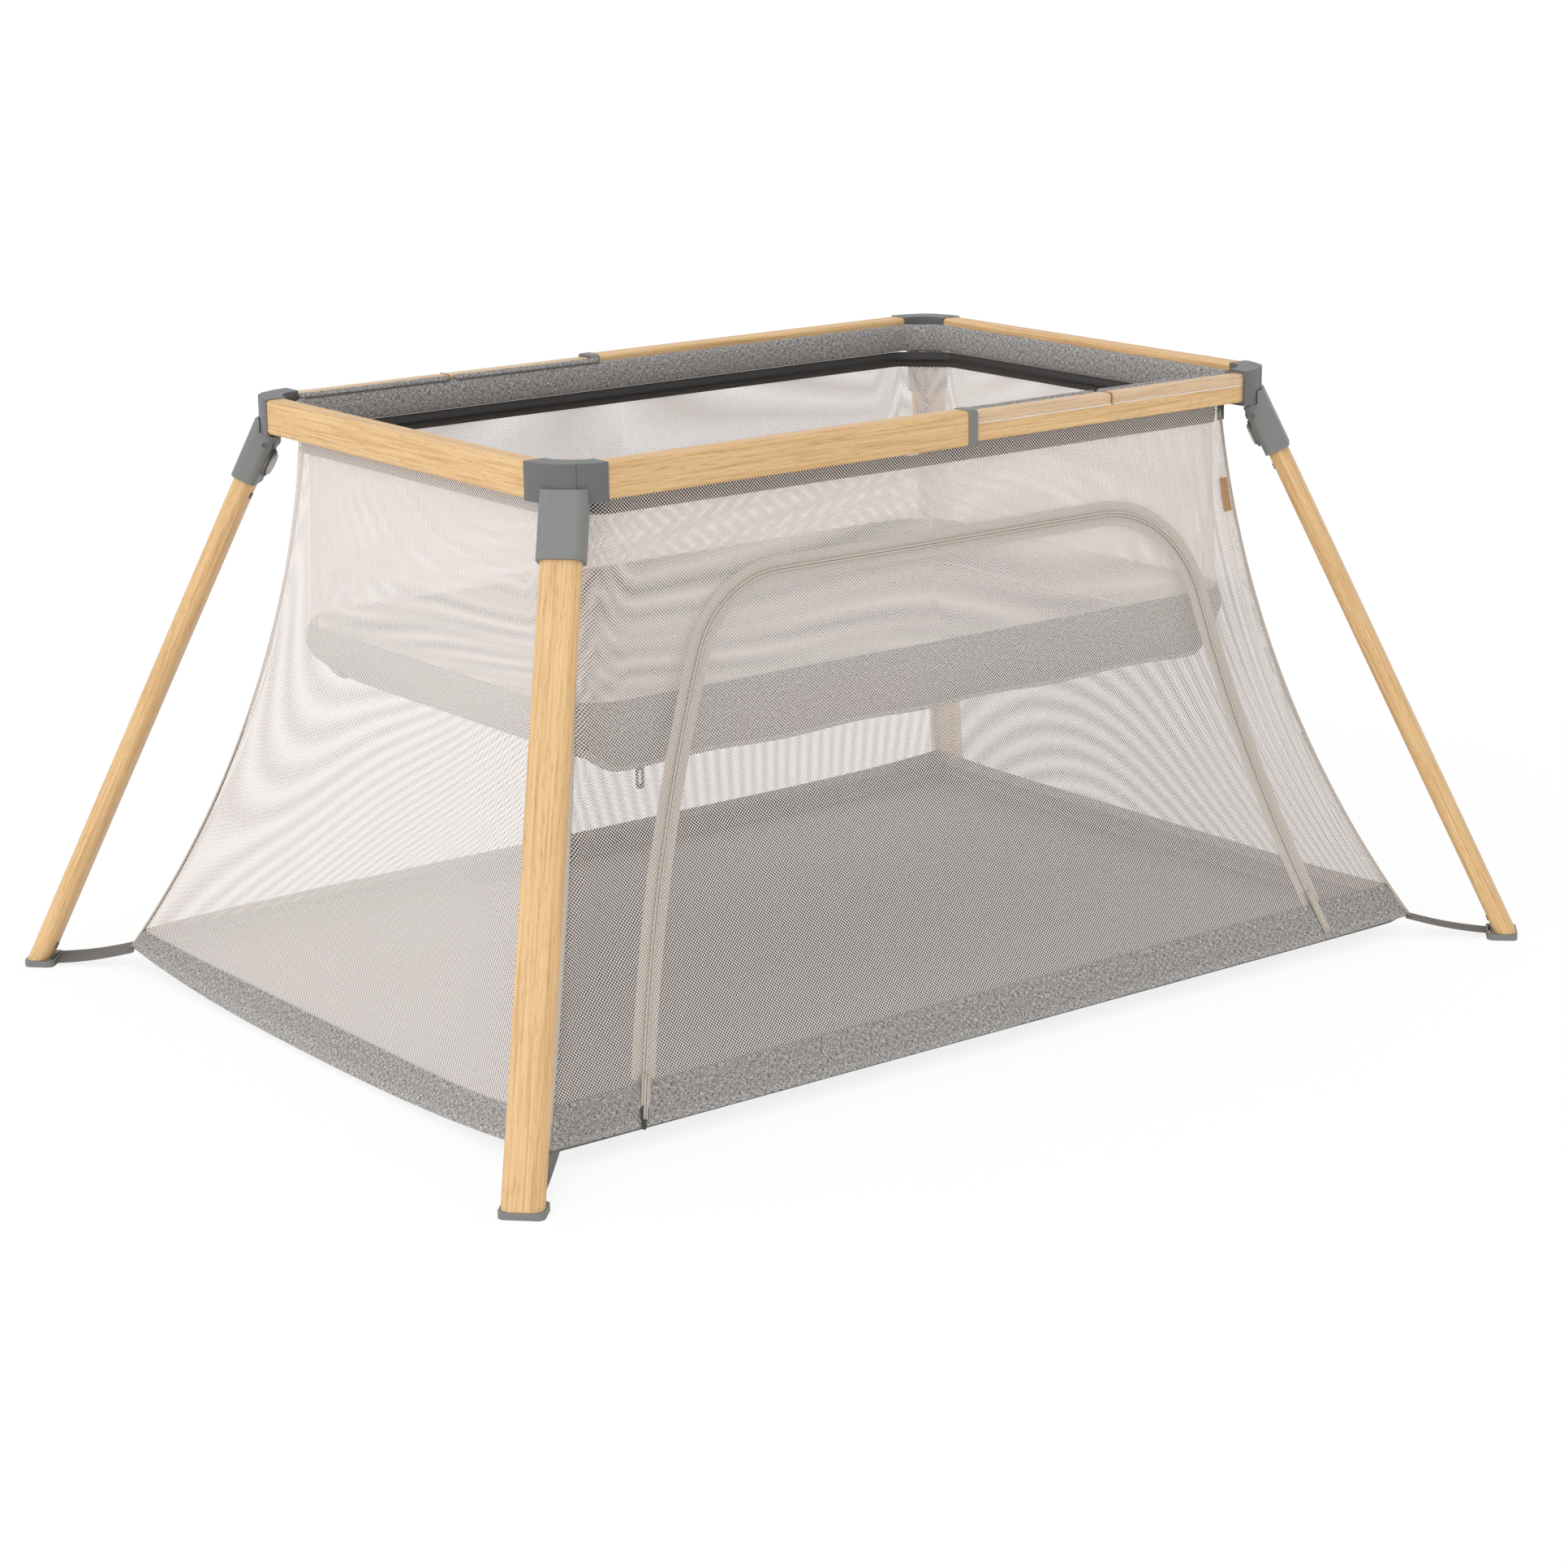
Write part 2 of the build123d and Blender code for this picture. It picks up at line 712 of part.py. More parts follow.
def ring_of_walls(shell, low, high):
    """Four wall pieces of a shell, as separate solids of one node."""
    return Compound(children=[wall_piece(shell, wall, low, high) for wall in (*SIDES, *ENDS)])


def shell_between(outer, inner):
    with BuildPart() as shell:
        add(outer)
        add(inner, mode=Mode.SUBTRACT)
    return shell.part


def rounded_head(head, foot, neighbour, radius):
    """Arc that rounds the door's head corner: start on the side, middle, end on the top edge."""
    down = (Vector(*foot) - Vector(*head)).normalized()
    across = (Vector(*neighbour) - Vector(*head)).normalized()
    half_angle = down.get_angle(across) / 2
    reach = radius / math.tan(math.radians(half_angle))
    middle_way = (down + across).normalized()
    middle = radius / math.sin(math.radians(half_angle)) - radius
    corner = Vector(*head)
    return corner + down * reach, corner + middle_way * middle, corner + across * reach


def door_outline(grow):
    """Arched door in the front view, larger than the zip's line by grow; its foot runs on below."""
    foot_left, foot_right = (door_foot_left, mesh_bottom), (door_foot_right, mesh_bottom)
    head_left, head_right = (door_head_left, door_head), (door_head_right, door_head)
    left = rounded_head(head_left, foot_left, head_right, door_round_left)
    right = rounded_head(head_right, foot_right, head_left, door_round_right)
    with BuildLine() as outline:
        Line(foot_left, left[0])
        ThreePointArc(*left)
        Line(left[2], right[2])
        ThreePointArc(*reversed(right))
        Line(right[0], foot_right)
        Polyline(foot_right, (door_foot_right, 0), (door_foot_left, 0), foot_left)
    make_face(outline.edges())
    if grow:
        offset(amount=grow)


def door_cut(piece, grow, mode):
    """Cut a wall piece by the door's outline, or keep only what lies inside it."""
    with BuildPart() as cut:
        add(piece)
        with BuildSketch(Plane.XZ):
            door_outline(grow)
        extrude(amount=far, mode=mode)
    return cut.part


def front_wall(wall):
    """Front mesh wall round the door and its zip."""
    return door_cut(wall, zip_tape + zip_gap, Mode.SUBTRACT)


def door_zip(wall):
    """The tape that stays on the wall, round the door."""
    return door_cut(door_cut(wall, zip_tape, Mode.INTERSECT), zip_gap, Mode.SUBTRACT)


def door_panel_half(wall, end):
    """The door's cloth on one half of the frame; its two halves meet at mid-length."""
    with BuildPart() as half:
        add(door_cut(wall, 0, Mode.INTERSECT))
        with BuildSketch(Plane.XY):
            with Locations((end * (far + seam) / 2, 0)):
                Rectangle(far, far)
        extrude(amount=far, mode=Mode.INTERSECT)
    return half.part


def front_half_width(height):
    """Distance of the front wall's outside from the middle, at a height."""
    top, bottom = tent_top_width / 2, tent_bottom_width / 2
    radius = (tent_top - tent_hem) / math.sin(2 * upright_bow(top, bottom))
    return top + radius - math.sqrt(radius**2 - (tent_top - height) ** 2)


def door_side_x(height):
    """Place of the zip's line on the door's left side, at a height."""
    share = (height - mesh_bottom) / (door_head - mesh_bottom)
    return door_foot_left + share * (door_head_left - door_foot_left)


def slider_frame():
    """Plane of the door's zip slider: x across the zip, y up along it, z out of the wall."""
    low = tent_hem + slider_above_hem
    high = low + slider_length
    start = Vector(door_side_x(low), -front_half_width(low), low)
    end = Vector(door_side_x(high), -front_half_width(high), high)
    along = (end - start).normalized()
    out = along.cross(Vector(-1, 0, 0)).normalized()
    middle = (start + end) / 2 + out * (2 * seam)
    return Plane(middle, x_dir=along.cross(out), z_dir=out)


def door_slider():
    """Slider on the door's zip, with its pull hanging down from it."""
    base = slider_frame()
    with BuildPart() as slider:
        with BuildSketch(base):
            rounded(slider_width, slider_length, slider_width / 3)
        extrude(amount=slider_thickness)
        with BuildSketch(base.offset(slider_thickness / 2)):
            with Locations((0, -slider_length / 2 - slider_pull / 2 + seam)):
                rounded(slider_width / 2, slider_pull, slider_width / 5)
            with Locations((0, -slider_length / 2 - slider_pull + slider_width / 2)):
                Circle(slider_width / 8, mode=Mode.SUBTRACT)
        extrude(amount=slider_thickness / 3)
    return slider.part


def corner_edge(offset_out):
    """Start, middle and end of the tent's corner line in a corner's side plane."""
    centre = corner_sum / math.sqrt(2)
    start, end = tent_corner_top - centre, tent_corner_bottom - centre
    middle = bowed_edge(start, end, math.radians(tent_corner_bow))
    return (
        (start + offset_out, tent_top),
        (middle[0] + offset_out, middle[1]),
        (end + offset_out, tent_hem),
    )


def corner_piping():
    """Binding tapes sewn down the four corners of the tent."""
    near, outer = corner_edge(seam), corner_edge(seam + piping_thickness)
    with BuildPart() as piping:
        for corner in CORNERS:
            with BuildSketch(side_plane(corner)):
                with BuildLine():
                    ThreePointArc(*near)
                    Line(near[2], outer[2])
                    ThreePointArc(*reversed(outer))
                    Line(outer[0], near[0])
                make_face()
            extrude(amount=piping_width / 2, both=True)
    return piping.part


def anchor_straps():
    """Webbing from the tent's bottom corners over the foot lips and down their slots."""
    start = corner_edge(2 * seam + piping_thickness)[2][0]
    slot_middle = lip_edge + foot_slot_edge + foot_slot_width / 2
    end = slot_middle + strap_thickness / 2
    top = foot_height + seam + strap_thickness
    with BuildPart() as straps:
        for corner in CORNERS:
            with BuildSketch(side_plane(corner)):
                with BuildLine():
                    Polyline(
                        (start, top - strap_thickness),
                        (end - strap_thickness, top - strap_thickness),
                        (end - strap_thickness, foot_height / 3),
                        (end, foot_height / 3),
                        (end, top),
                        (start, top),
                        close=True,
                    )
                make_face()
            extrude(amount=strap_width / 2, both=True)
    return straps.part


def side_label():
    """Plain folded label sewn in beside the front right corner's binding."""
    low, high = label_middle - label_height / 2, label_middle + label_height / 2
    near, outer = corner_edge(seam), corner_edge(seam + label_thickness)
    start = piping_width / 2 + seam
    plane = side_plane("front_right")
    towards_front = -1 if plane.z_dir.X > 0 else 1
    with BuildPart() as label:
        with BuildSketch(plane.offset(towards_front * start)):
            with BuildLine():
                ThreePointArc(*near)
                Line(near[2], outer[2])
                ThreePointArc(*reversed(outer))
                Line(outer[0], near[0])
            make_face()
        extrude(amount=towards_front * label_width)
        with BuildSketch(Plane.XY.offset(low)):
            Rectangle(far, far)
        extrude(amount=high - low, mode=Mode.INTERSECT)
    return label.part


# Band, liner zip and bassinet


def cut_corner_rectangle(half_x, half_y, corner_sum):
    """Rectangle whose corners are cut along x + y = corner_sum."""
    cut_x, cut_y = corner_sum - half_y, corner_sum - half_x
    quarter = ((half_x, cut_y), (cut_x, half_y))
    points = [
        *quarter,
        *((-x, y) for x, y in reversed(quarter)),
        *((-x, -y) for x, y in quarter),
        *((x, -y) for x, y in reversed(quarter)),
    ]
    with BuildLine() as outline:
        Polyline(*points, close=True)
    make_face(outline.edges())


def panel_outlines(straight_x, straight_y):
    """Plan regions of a ring's four straight panels and of the two halves of each corner."""
    outlines = []
    for way in (-far, far):
        outlines.append(((-straight_x, 0), (straight_x, 0), (straight_x, way), (-straight_x, way)))
        outlines.append(((0, -straight_y), (0, straight_y), (way, straight_y), (way, -straight_y)))
    for sx, sy in CORNERS.values():
        x, y = sx * (straight_x + seam), sy * (straight_y + seam)
        outlines.append(((x, y), (x + sx * far, y), (x + sx * far, y + sy * far)))
        y += sy * seam
        outlines.append(((x, y), (x, y + sy * far), (x + sx * far, y + sy * far)))
    return outlines


def ring_of_panels(shell, straight_x, straight_y, low, high):
    """Straight panels and corner halves of a shell, as separate solids of one node."""
    panels = []
    for points in panel_outlines(straight_x, straight_y):
        with BuildPart() as panel:
            add(shell)
            with BuildSketch(Plane.XY.offset(low)):
                with BuildLine():
                    Polyline(*points, close=True)
                make_face()
            extrude(amount=high - low, mode=Mode.INTERSECT)
        panels.append(panel.part)
    return Compound(children=panels)


def cut_corner_ring(half_x, half_y, corner_sum, thickness, low, high):
    """Upright ring of cloth with flattened corners."""
    blocks = []
    for inset in (0, thickness):
        inner_x, inner_y = half_x - inset, half_y - inset
        inner_sum = corner_sum - inset * math.sqrt(2)
        with BuildPart() as block:
            with BuildSketch(Plane.XY.offset(low)):
                cut_corner_rectangle(inner_x, inner_y, inner_sum)
            extrude(amount=high - low)
        blocks.append(block.part)
    return ring_of_panels(shell_between(*blocks), inner_sum - inner_y, inner_sum - inner_x, low, high)


def top_band():
    """Padded band against the inside of the rails."""
    half_x = half_length - rail_depth - collar_proud - seam
    half_y = half_width - rail_depth - collar_proud - seam
    band_top = band_bottom + band_height
    return cut_corner_ring(half_x, half_y, band_corner, band_thickness, band_bottom, band_top)


def liner_zip():
    """Zip tape ring under the band, which holds the bassinet."""
    half_x, half_y = liner_length / 2, liner_width / 2
    thickness = liner_zip_thickness
    return cut_corner_ring(half_x, half_y, liner_zip_corner, thickness, liner_zip_bottom, tent_top)


def bassinet_block(inset):
    """Solid that fills the bassinet, slightly narrower towards its bottom."""
    narrower = 2 * inset
    with BuildPart() as block:
        with BuildSketch(Plane.XY.offset(bassinet_bottom)):
            length, width = bassinet_bottom_length - narrower, bassinet_bottom_width - narrower
            rounded(length, width, bassinet_bottom_round)
        with BuildSketch(Plane.XY.offset(bassinet_top)):
            rounded(liner_length - narrower, liner_width - narrower, bassinet_top_round)
        loft(ruled=True)
    return block.part


def bassinet_ring(shell, low, high):
    """Walls of the bassinet between two heights."""
    straight_x = bassinet_bottom_length / 2 - bassinet_bottom_round
    straight_y = bassinet_bottom_width / 2 - bassinet_bottom_round
    return ring_of_panels(shell, straight_x, straight_y, low, high)


def bassinet_walls(shell):
    return bassinet_ring(shell, bassinet_bottom + tub_height + seam, bassinet_top)


def bassinet_tub(shell):
    """Lower cloth walls and the bottom board, as sewn pieces."""
    board_top = bassinet_bottom + cloth
    sides = bassinet_ring(shell, board_top + seam, bassinet_bottom + tub_height)
    with BuildPart() as board:
        add(bassinet_block(0))
        with BuildSketch(Plane.XY.offset(board_top)):
            Rectangle(far, far)
        extrude(amount=far, mode=Mode.SUBTRACT)
    return Compound(children=[*sides.children, board.part])


def bassinet_mattress():
    length = bassinet_bottom_length - 2 * (cloth + mattress_margin)
    width = bassinet_bottom_width - 2 * (cloth + mattress_margin)
    with BuildPart() as mattress:
        with BuildSketch(Plane.XY.offset(bassinet_bottom + cloth + seam)):
            rounded(length, width, bassinet_bottom_round - mattress_margin)
        extrude(amount=mattress_thickness)
        fillet(mattress.faces().sort_by(Axis.Z)[-1].edges(), mattress_round)
        fillet(mattress.faces().sort_by(Axis.Z)[0].edges(), mattress_round)
    return mattress.part


def floor_mat(inner):
    """Padded floor inside the skirt."""
    with BuildPart() as mat:
        add(inner)
        with BuildSketch(Plane.XY.offset(tent_hem + mat_thickness)):
            Rectangle(far, far)
        extrude(amount=far, mode=Mode.SUBTRACT)
    return mat.part


def tab_plane():
    """Front view plane of the bassinet's zip pull, at its bail."""
    bail_height = bassinet_bottom - seam - 3 * bail_radius
    along = -bassinet_bottom_length / 2 + tab_from_end
    across = -bassinet_bottom_width / 2 + tab_from_side
    return Plane((along, across, bail_height), x_dir=(1, 0, 0), z_dir=(0, -1, 0))


def bassinet_zip_bail():
    """Small stirrup under the bassinet that the zip pull hangs on."""
    arm = tab_thickness
    reach = 4 * bail_radius + tab_thickness
    with BuildPart() as bail:
        with BuildSketch(tab_plane()):
            Circle(bail_radius)
        extrude(amount=reach, both=True)
        for way in (-1, 1):
            with BuildSketch(tab_plane().offset(way * (reach + arm / 2))):
                with Locations((0, bail_radius)):
                    Rectangle(4 * bail_radius, 4 * bail_radius)
            extrude(amount=arm / 2, both=True)
    return bail.part


def bassinet_zip_pull():
    """Flat pull with an eye round the bail and a hole at its end."""
    with BuildPart() as pull:
        with BuildSketch(tab_plane()):
            with Locations((0, -tab_length / 2 + tab_width / 4)):
                SlotOverall(tab_length, tab_width, rotation=90)
            Circle(bail_radius + bail_gap, mode=Mode.SUBTRACT)
            with Locations((0, -tab_length / 2)):
                SlotOverall(tab_length / 2, tab_width / 2, rotation=90, mode=Mode.SUBTRACT)
        extrude(amount=tab_thickness / 2, both=True)
    return pull.part


# Make every piece

os.makedirs("parts", exist_ok=True)

for name, side in SIDES.items():
    save(thick_rail(side), f"{name}_rail_outer")
    save(slim_rail(side), f"{name}_rail_inner")
    save(rail_collar(side), f"{name}_rail_collar")
    save(glide_plug(side), f"{name}_rail_plug")
    save(glide_strips(side), f"{name}_rail_clear_strips")
    save(lock_button(side), f"{name}_rail_lock_button")

for name, end in ENDS.items():
    save(end_rail(end), f"{name}_end_rail")
    save(pivot_pins(end), f"{name}_pivot_pins")

for corner in CORNERS:
    save(corner_hub(corner), f"hub_{corner}")
    save(leg_socket(corner), f"leg_socket_{corner}")
    save(release_button(corner), f"leg_button_{corner}")
    save(leg_tube(corner), f"leg_tube_{corner}")
    save(foot_cap(corner), f"foot_cap_{corner}")
    save(leg_screws(corner), f"leg_screws_{corner}")

tent_outside = tent_block(0)
tent_inside = tent_block(cloth)
tent_shell = shell_between(tent_outside, tent_inside)
front = wall_piece(tent_shell, "front", mesh_bottom, tent_top)
save(front_wall(front), "front_mesh_wall")
save(door_zip(front), "door_zip")
for name, end in ENDS.items():
    save(door_panel_half(front, end), f"door_panel_{name}")
save(door_slider(), "door_zip_slider")
for wall in ("back", "left", "right"):
    save(wall_piece(tent_shell, wall, mesh_bottom, tent_top), f"{wall}_mesh_wall")
save(ring_of_walls(tent_shell, tent_hem, tent_hem + skirt_height), "base_skirt")
save(floor_mat(tent_block(cloth + seam)), "floor_mat")
save(corner_piping(), "corner_piping")
save(anchor_straps(), "anchor_straps")
save(side_label(), "side_label")

save(top_band(), "top_band")
save(liner_zip(), "liner_zip")
bassinet_shell = shell_between(bassinet_block(0), bassinet_block(cloth))
save(bassinet_walls(bassinet_shell), "bassinet_mesh")
save(bassinet_tub(bassinet_shell), "bassinet_tub")
save(bassinet_mattress(), "bassinet_mattress")
save(bassinet_zip_bail(), "bassinet_zip_bail")
save(bassinet_zip_pull(), "bassinet_zip_pull")
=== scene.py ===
import json
import math

import bmesh
import bpy
import numpy as np
from mathutils import Matrix, Vector
from mathutils.geometry import delaunay_2d_cdt

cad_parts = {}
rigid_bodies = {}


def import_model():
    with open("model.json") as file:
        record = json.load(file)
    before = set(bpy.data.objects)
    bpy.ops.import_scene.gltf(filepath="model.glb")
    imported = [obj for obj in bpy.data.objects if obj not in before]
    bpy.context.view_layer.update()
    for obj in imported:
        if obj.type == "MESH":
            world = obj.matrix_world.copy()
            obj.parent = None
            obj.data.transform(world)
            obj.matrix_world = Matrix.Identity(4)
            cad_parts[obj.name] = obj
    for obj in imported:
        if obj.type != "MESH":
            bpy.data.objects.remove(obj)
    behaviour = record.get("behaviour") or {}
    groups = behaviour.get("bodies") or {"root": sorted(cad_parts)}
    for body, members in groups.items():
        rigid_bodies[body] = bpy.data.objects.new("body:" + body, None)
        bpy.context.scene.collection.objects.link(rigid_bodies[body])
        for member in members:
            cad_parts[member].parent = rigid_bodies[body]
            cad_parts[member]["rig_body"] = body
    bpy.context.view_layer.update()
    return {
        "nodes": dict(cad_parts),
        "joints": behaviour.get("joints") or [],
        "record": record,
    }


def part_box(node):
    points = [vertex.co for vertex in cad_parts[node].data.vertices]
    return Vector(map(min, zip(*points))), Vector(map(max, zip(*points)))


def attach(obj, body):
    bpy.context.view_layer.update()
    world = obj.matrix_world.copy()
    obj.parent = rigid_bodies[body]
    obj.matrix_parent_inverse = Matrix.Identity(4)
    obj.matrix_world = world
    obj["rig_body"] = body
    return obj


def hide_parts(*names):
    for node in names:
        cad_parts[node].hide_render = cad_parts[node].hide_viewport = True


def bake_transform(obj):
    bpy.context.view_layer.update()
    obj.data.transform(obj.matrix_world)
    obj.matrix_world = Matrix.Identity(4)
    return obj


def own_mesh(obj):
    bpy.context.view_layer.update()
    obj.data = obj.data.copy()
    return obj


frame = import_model()
nodes = frame["nodes"]

# Tent sizes in metres; those that the solid model fixes are read from its nodes
HEM, SKIRT_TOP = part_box("base_skirt")[0].z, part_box("base_skirt")[1].z
BOTTOM_X, BOTTOM_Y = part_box("base_skirt")[1].x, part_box("base_skirt")[1].y
TENT_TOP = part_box("back_mesh_wall")[1].z
LINER_GAP = 0.0026
TOP_X, TOP_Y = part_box("liner_zip")[1].x + LINER_GAP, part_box("liner_zip")[1].y + LINER_GAP
FRAME_X, FRAME_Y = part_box("right_end_rail")[1].x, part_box("back_rail_outer")[1].y
CORNER_OFFSET = FRAME_X - FRAME_Y
CORNER_RADIUS = 0.058
CORNER_REACH = 0.0117
CORNER_BOW = math.radians(15.5)
CORNER_TOP = (FRAME_X + FRAME_Y - 2 * CORNER_RADIUS) / math.sqrt(2) + CORNER_REACH
CORNER_BOTTOM = (BOTTOM_X + BOTTOM_Y) / math.sqrt(2)
CORNER_SOFTNESS = 0.4
LEAST_CORNER_ROUND = 0.0008
LEG_SPLAY = math.radians(26)

# Cloth details
RIPPLE = 0.0016
RIPPLE_SHIFT = 1.7
LONG_RIPPLE = (8.3, 5.0)
SHORT_RIPPLE = (15.0, -9.0)
SHORT_RIPPLE_SHARE = 0.6
NET_TUCK = 0.004
CREASE_TOP = (-0.399, 0.270)
CREASE_FOOT = (-0.563, 0.081)
CREASE_DEPTH = 0.007
CREASE_WIDTH = 0.022
HEM_STRIP = 0.008
HEM_LIFT = {"front": 0.017, "back": 0.002, "left": 0.003, "right": 0.003}
CORNER_LIFT = 0.019
CORNER_LIFT_SHARPNESS = {"front": 6, "back": 6, "left": 2.5, "right": 2.5}
SEAM_DROP = {"front": 0.0, "back": 0.010, "left": 0.018, "right": 0.006}
BACK_LEFT_SEAM_DROP = 0.016
SEAM_CORNER_SHARPNESS = 6
SKIRT_LIFT = 0.0012
SKIRT_PUFF = 0.0022
SKIRT_PUFF_FULLNESS = 0.7
MAT_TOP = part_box("floor_mat")[1].z
MAT_CENTRE = (0.44, 0.27)
MAT_RIM = 0.9
RIM_ABOVE_HEM = 0.002
PIPING_WIDTH = 0.009
PIPING_HEIGHT = 0.0028
STRAP_WIDTH = 0.027
STRAP_FOOT_HEIGHT = 0.0055
STRAP_SAG = 0.0025
BACK_STRAP_TILT = math.radians(-14)
STRAP_TUCK = 0.004
LABEL_LOW, LABEL_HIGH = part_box("side_label")[0].z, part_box("side_label")[1].z
LABEL_WIDTH = 0.0127
LABEL_FROM_EDGE = 0.017
LABEL_LIFT = 0.002
RIGHT_HALF_INSET = 0.0006
LEAST_FILL = 0.35

# Clear strips on the slim rails, with a painted highlight along their lower edge and ticks of
# painted shade at the notches and the break
STRIP_HIGHLIGHT_EDGE = 0.0012
STRIP_NOTCH_PITCH = 0.050
STRIP_TICK = 0.0022
STRIP_BREAK = 0.231
STRIP_INNER_SKIN = 0.0012

# Door and its zip
DOOR_FOOT_LEFT, DOOR_FOOT_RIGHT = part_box("door_panel_left")[0].x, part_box("door_panel_right")[1].x
DOOR_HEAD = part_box("door_panel_left")[1].z
DOOR_HEAD_LEFT, DOOR_HEAD_RIGHT = -0.2795, 0.3480
DOOR_ROUND_LEFT, DOOR_ROUND_RIGHT = 0.113, 0.140
ZIP_TAPE = 0.0135
ZIP_TAPE_BEHIND = -0.0016
ZIP_CORD = 0.0024
ZIP_CORD_GAP = 0.0003
ZIP_CORD_DOME = 0.7
ZIP_CORD_LIFT = 0.0004
ZIP_FOOT_TAPE = 0.0052
ZIP_FOOT_TAPE_LIFT = 0.0006
ZIP_FOOT_CORD_LIFT = 0.001
ZIP_FOOT_OVERLAP = 0.02
ZIP_FOOT_LOW = HEM + HEM_LIFT["front"] + HEM_STRIP
SLIDER_RISE = 0.012

# Band, liner zip and bassinet
BAND_LOW, BAND_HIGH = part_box("top_band")
LINER_LOW, LINER_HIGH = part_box("liner_zip")
NET_LOW, NET_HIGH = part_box("bassinet_mesh")
TUB_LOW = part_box("bassinet_tub")[0]
MATTRESS_LOW, MATTRESS_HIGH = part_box("bassinet_mattress")
MATTRESS_END = 0.414
MATTRESS_ROUND = 0.05
MATTRESS_EDGE = 0.010
MATTRESS_EDGE_FULLNESS = 0.6
BAND_THICKNESS = 0.008
BAND_CROWN = 0.003
BAND_FULLNESS = 0.55
BAND_CUT = 0.7040
LINER_CUT = 0.6845
LINER_RIDGE = 0.0014
LINER_CORNER_RIDGE = 1.4 * LINER_RIDGE
LINER_COIL = (0.36, 0.64)
LINER_COIL_TOP = (0.42, 0.58)
RING_BEND = 0.02
BASSINET_NET_TUCK = 0.002
BASSINET_TOP_ROUND, BASSINET_BOTTOM_ROUND = 0.084, 0.060
TUB_DRAWN_IN = (0.016, 0.010)
TUB_ROUNDING = 4
TUB_BULGE = 0.004
TUB_SAG = 0.006
TUB_SAG_ALONG = 31.0
TUB_SAG_ACROSS = 23.0
TUB_SAG_SHIFT = 1.1
TUB_SAG_SHARE = 0.25
TUB_END_RISE = 0.024
TUB_END_START, TUB_END_REACH = 0.395, 0.040
TUB_PROUD = 0.0006
TUB_BINDING = 0.006
TUB_BINDING_PROUD = 0.0012
TUB_BINDING_UNDER = 0.0006
TUB_FLOOR_SHARES = (1.0, 0.97, 0.94, 0.9, 0.7, 0.5, 0.25, 0.0)
TUB_FLOOR_RIM = 0.9
ROLL_REACH = (0.034, 0.226, 0.236, 0.425)
ROLL_WIDTH = 0.009
ROLL_HEIGHT = 0.005
TAB_PLACE = (0.433, -0.2605, 0.613)
TAB_WIDTH = 0.0105
TAB_DROP = 0.022

# Share of half a wall's length worked out as a fold anchor; the cloth is not folded with the legs
FOLD_ANCHOR = 0.55

# Dark rings round the release buttons
BUTTON_FACE = 0.0045
BUTTON_RING_BEHIND = 0.0040
BUTTON_RING_RADIUS = 0.0145
BUTTON_RING_WIRE = 0.0013

# Steps of the meshes
LEVEL_STEPS = 400
WALL_ROWS, WALL_COLUMNS = 44, 40
FRONT_EDGE_STEPS = 80
FRONT_STEP = 0.014
FRONT_LEAST_STEP = 0.6
DOOR_SIDE_STEPS, DOOR_BEND_STEPS, DOOR_HEAD_STEPS = 34, 22, 36
DOME_STEPS = 7
TAPE_ROWS = 4
SIDE_STEP = 0.001
SKIRT_ROWS, SKIRT_COLUMNS = 16, 90
FLOOR_ROWS, FLOOR_COLUMNS = 12, 20
FLOOR_MIDDLE_ROWS = 39
BINDING_ROWS = 60
STRAP_ROWS, STRAP_COLUMNS = 16, 5
LABEL_ROWS, LABEL_COLUMNS = 8, 4
TAB_ROWS, TAB_COLUMNS = 8, 5
BAND_STEPS = 20
ROLL_STEPS = 24
CUT_RING_STEPS = (24, 7)
ROUND_RING_STEPS = (26, 12)
BASSINET_NET_ROWS = 14
TUB_ROWS = 14
TUB_ROW_SPREAD = 1.6
TUB_BINDING_ROWS = 4
MATTRESS_EDGE_ROWS = 9
MATTRESS_TOP_SHARES = (0.8, 0.5, 0.2, 0.0)
BUTTON_RING_STEPS = (40, 10)
SAME_PLACE = 1e-6

# Grain, weave and gloss of the materials; bumps are a strength and a height
OAK_BASE = (0.80, 0.52, 0.25)
OAK_TONES = (
    (0.26, (0.62, 0.365, 0.155)),
    (0.44, (0.76, 0.485, 0.225)),
    (0.56, (0.82, 0.54, 0.262)),
    (0.76, (0.87, 0.60, 0.315)),
)
OAK_PORE_TONES = ((0.30, (0.74, 0.66, 0.56)), (0.44, (1.0, 1.0, 1.0)))
OAK_ROUGHNESS = 0.45
OAK_FIGURE = (1.6, 34.0, 34.0)
OAK_FIBRE = (9.0, 420.0, 420.0)
OAK_PORES = (60.0, 1300.0, 1300.0)
OAK_RINGS = 62.0
OAK_RING_SHARE = 0.055
OAK_BUMP = (0.12, 0.0004)
MOULDED_GRAIN = 1400.0
MOULDED_BUMP = (0.10, 0.0003)
MELANGE_BASE = (0.33, 0.305, 0.287)
MELANGE_TONES = ((0.22, 0.09), (0.43, 0.24), (0.57, 0.39), (0.78, 0.66))
MELANGE_TINT = (1.0, 0.965, 0.94)
MELANGE_ALONG, MELANGE_ACROSS = 230.0, 1250.0
MELANGE_RANGE = (0.55, 1.45)
MELANGE_ROUGHNESS = 0.9
MELANGE_BUMP = (0.35, 0.0006)
WOVEN_TONES = ((0.3, 0.72), (0.7, 1.2))
WOVEN_STRETCH = 0.5
WOVEN_BUMP = (0.25, 0.0005)
NET_PITCH = 0.0026
NET_EDGE = 0.3
NET_ROUGHNESS = 0.8
# Near-white colour of the clear strips, also the colour of the painted highlight along their lower
# edge
STRIP_COLOR = (0.93, 0.90, 0.84)
# Dark brown of the ticks: painted shade in the strips' notches and in their break
STRIP_TICK_SHADE_COLOR = (0.36, 0.20, 0.08, 1.0)
STRIP_ROUGHNESS = 0.12
STRIP_ALPHA = (0.12, 0.75)

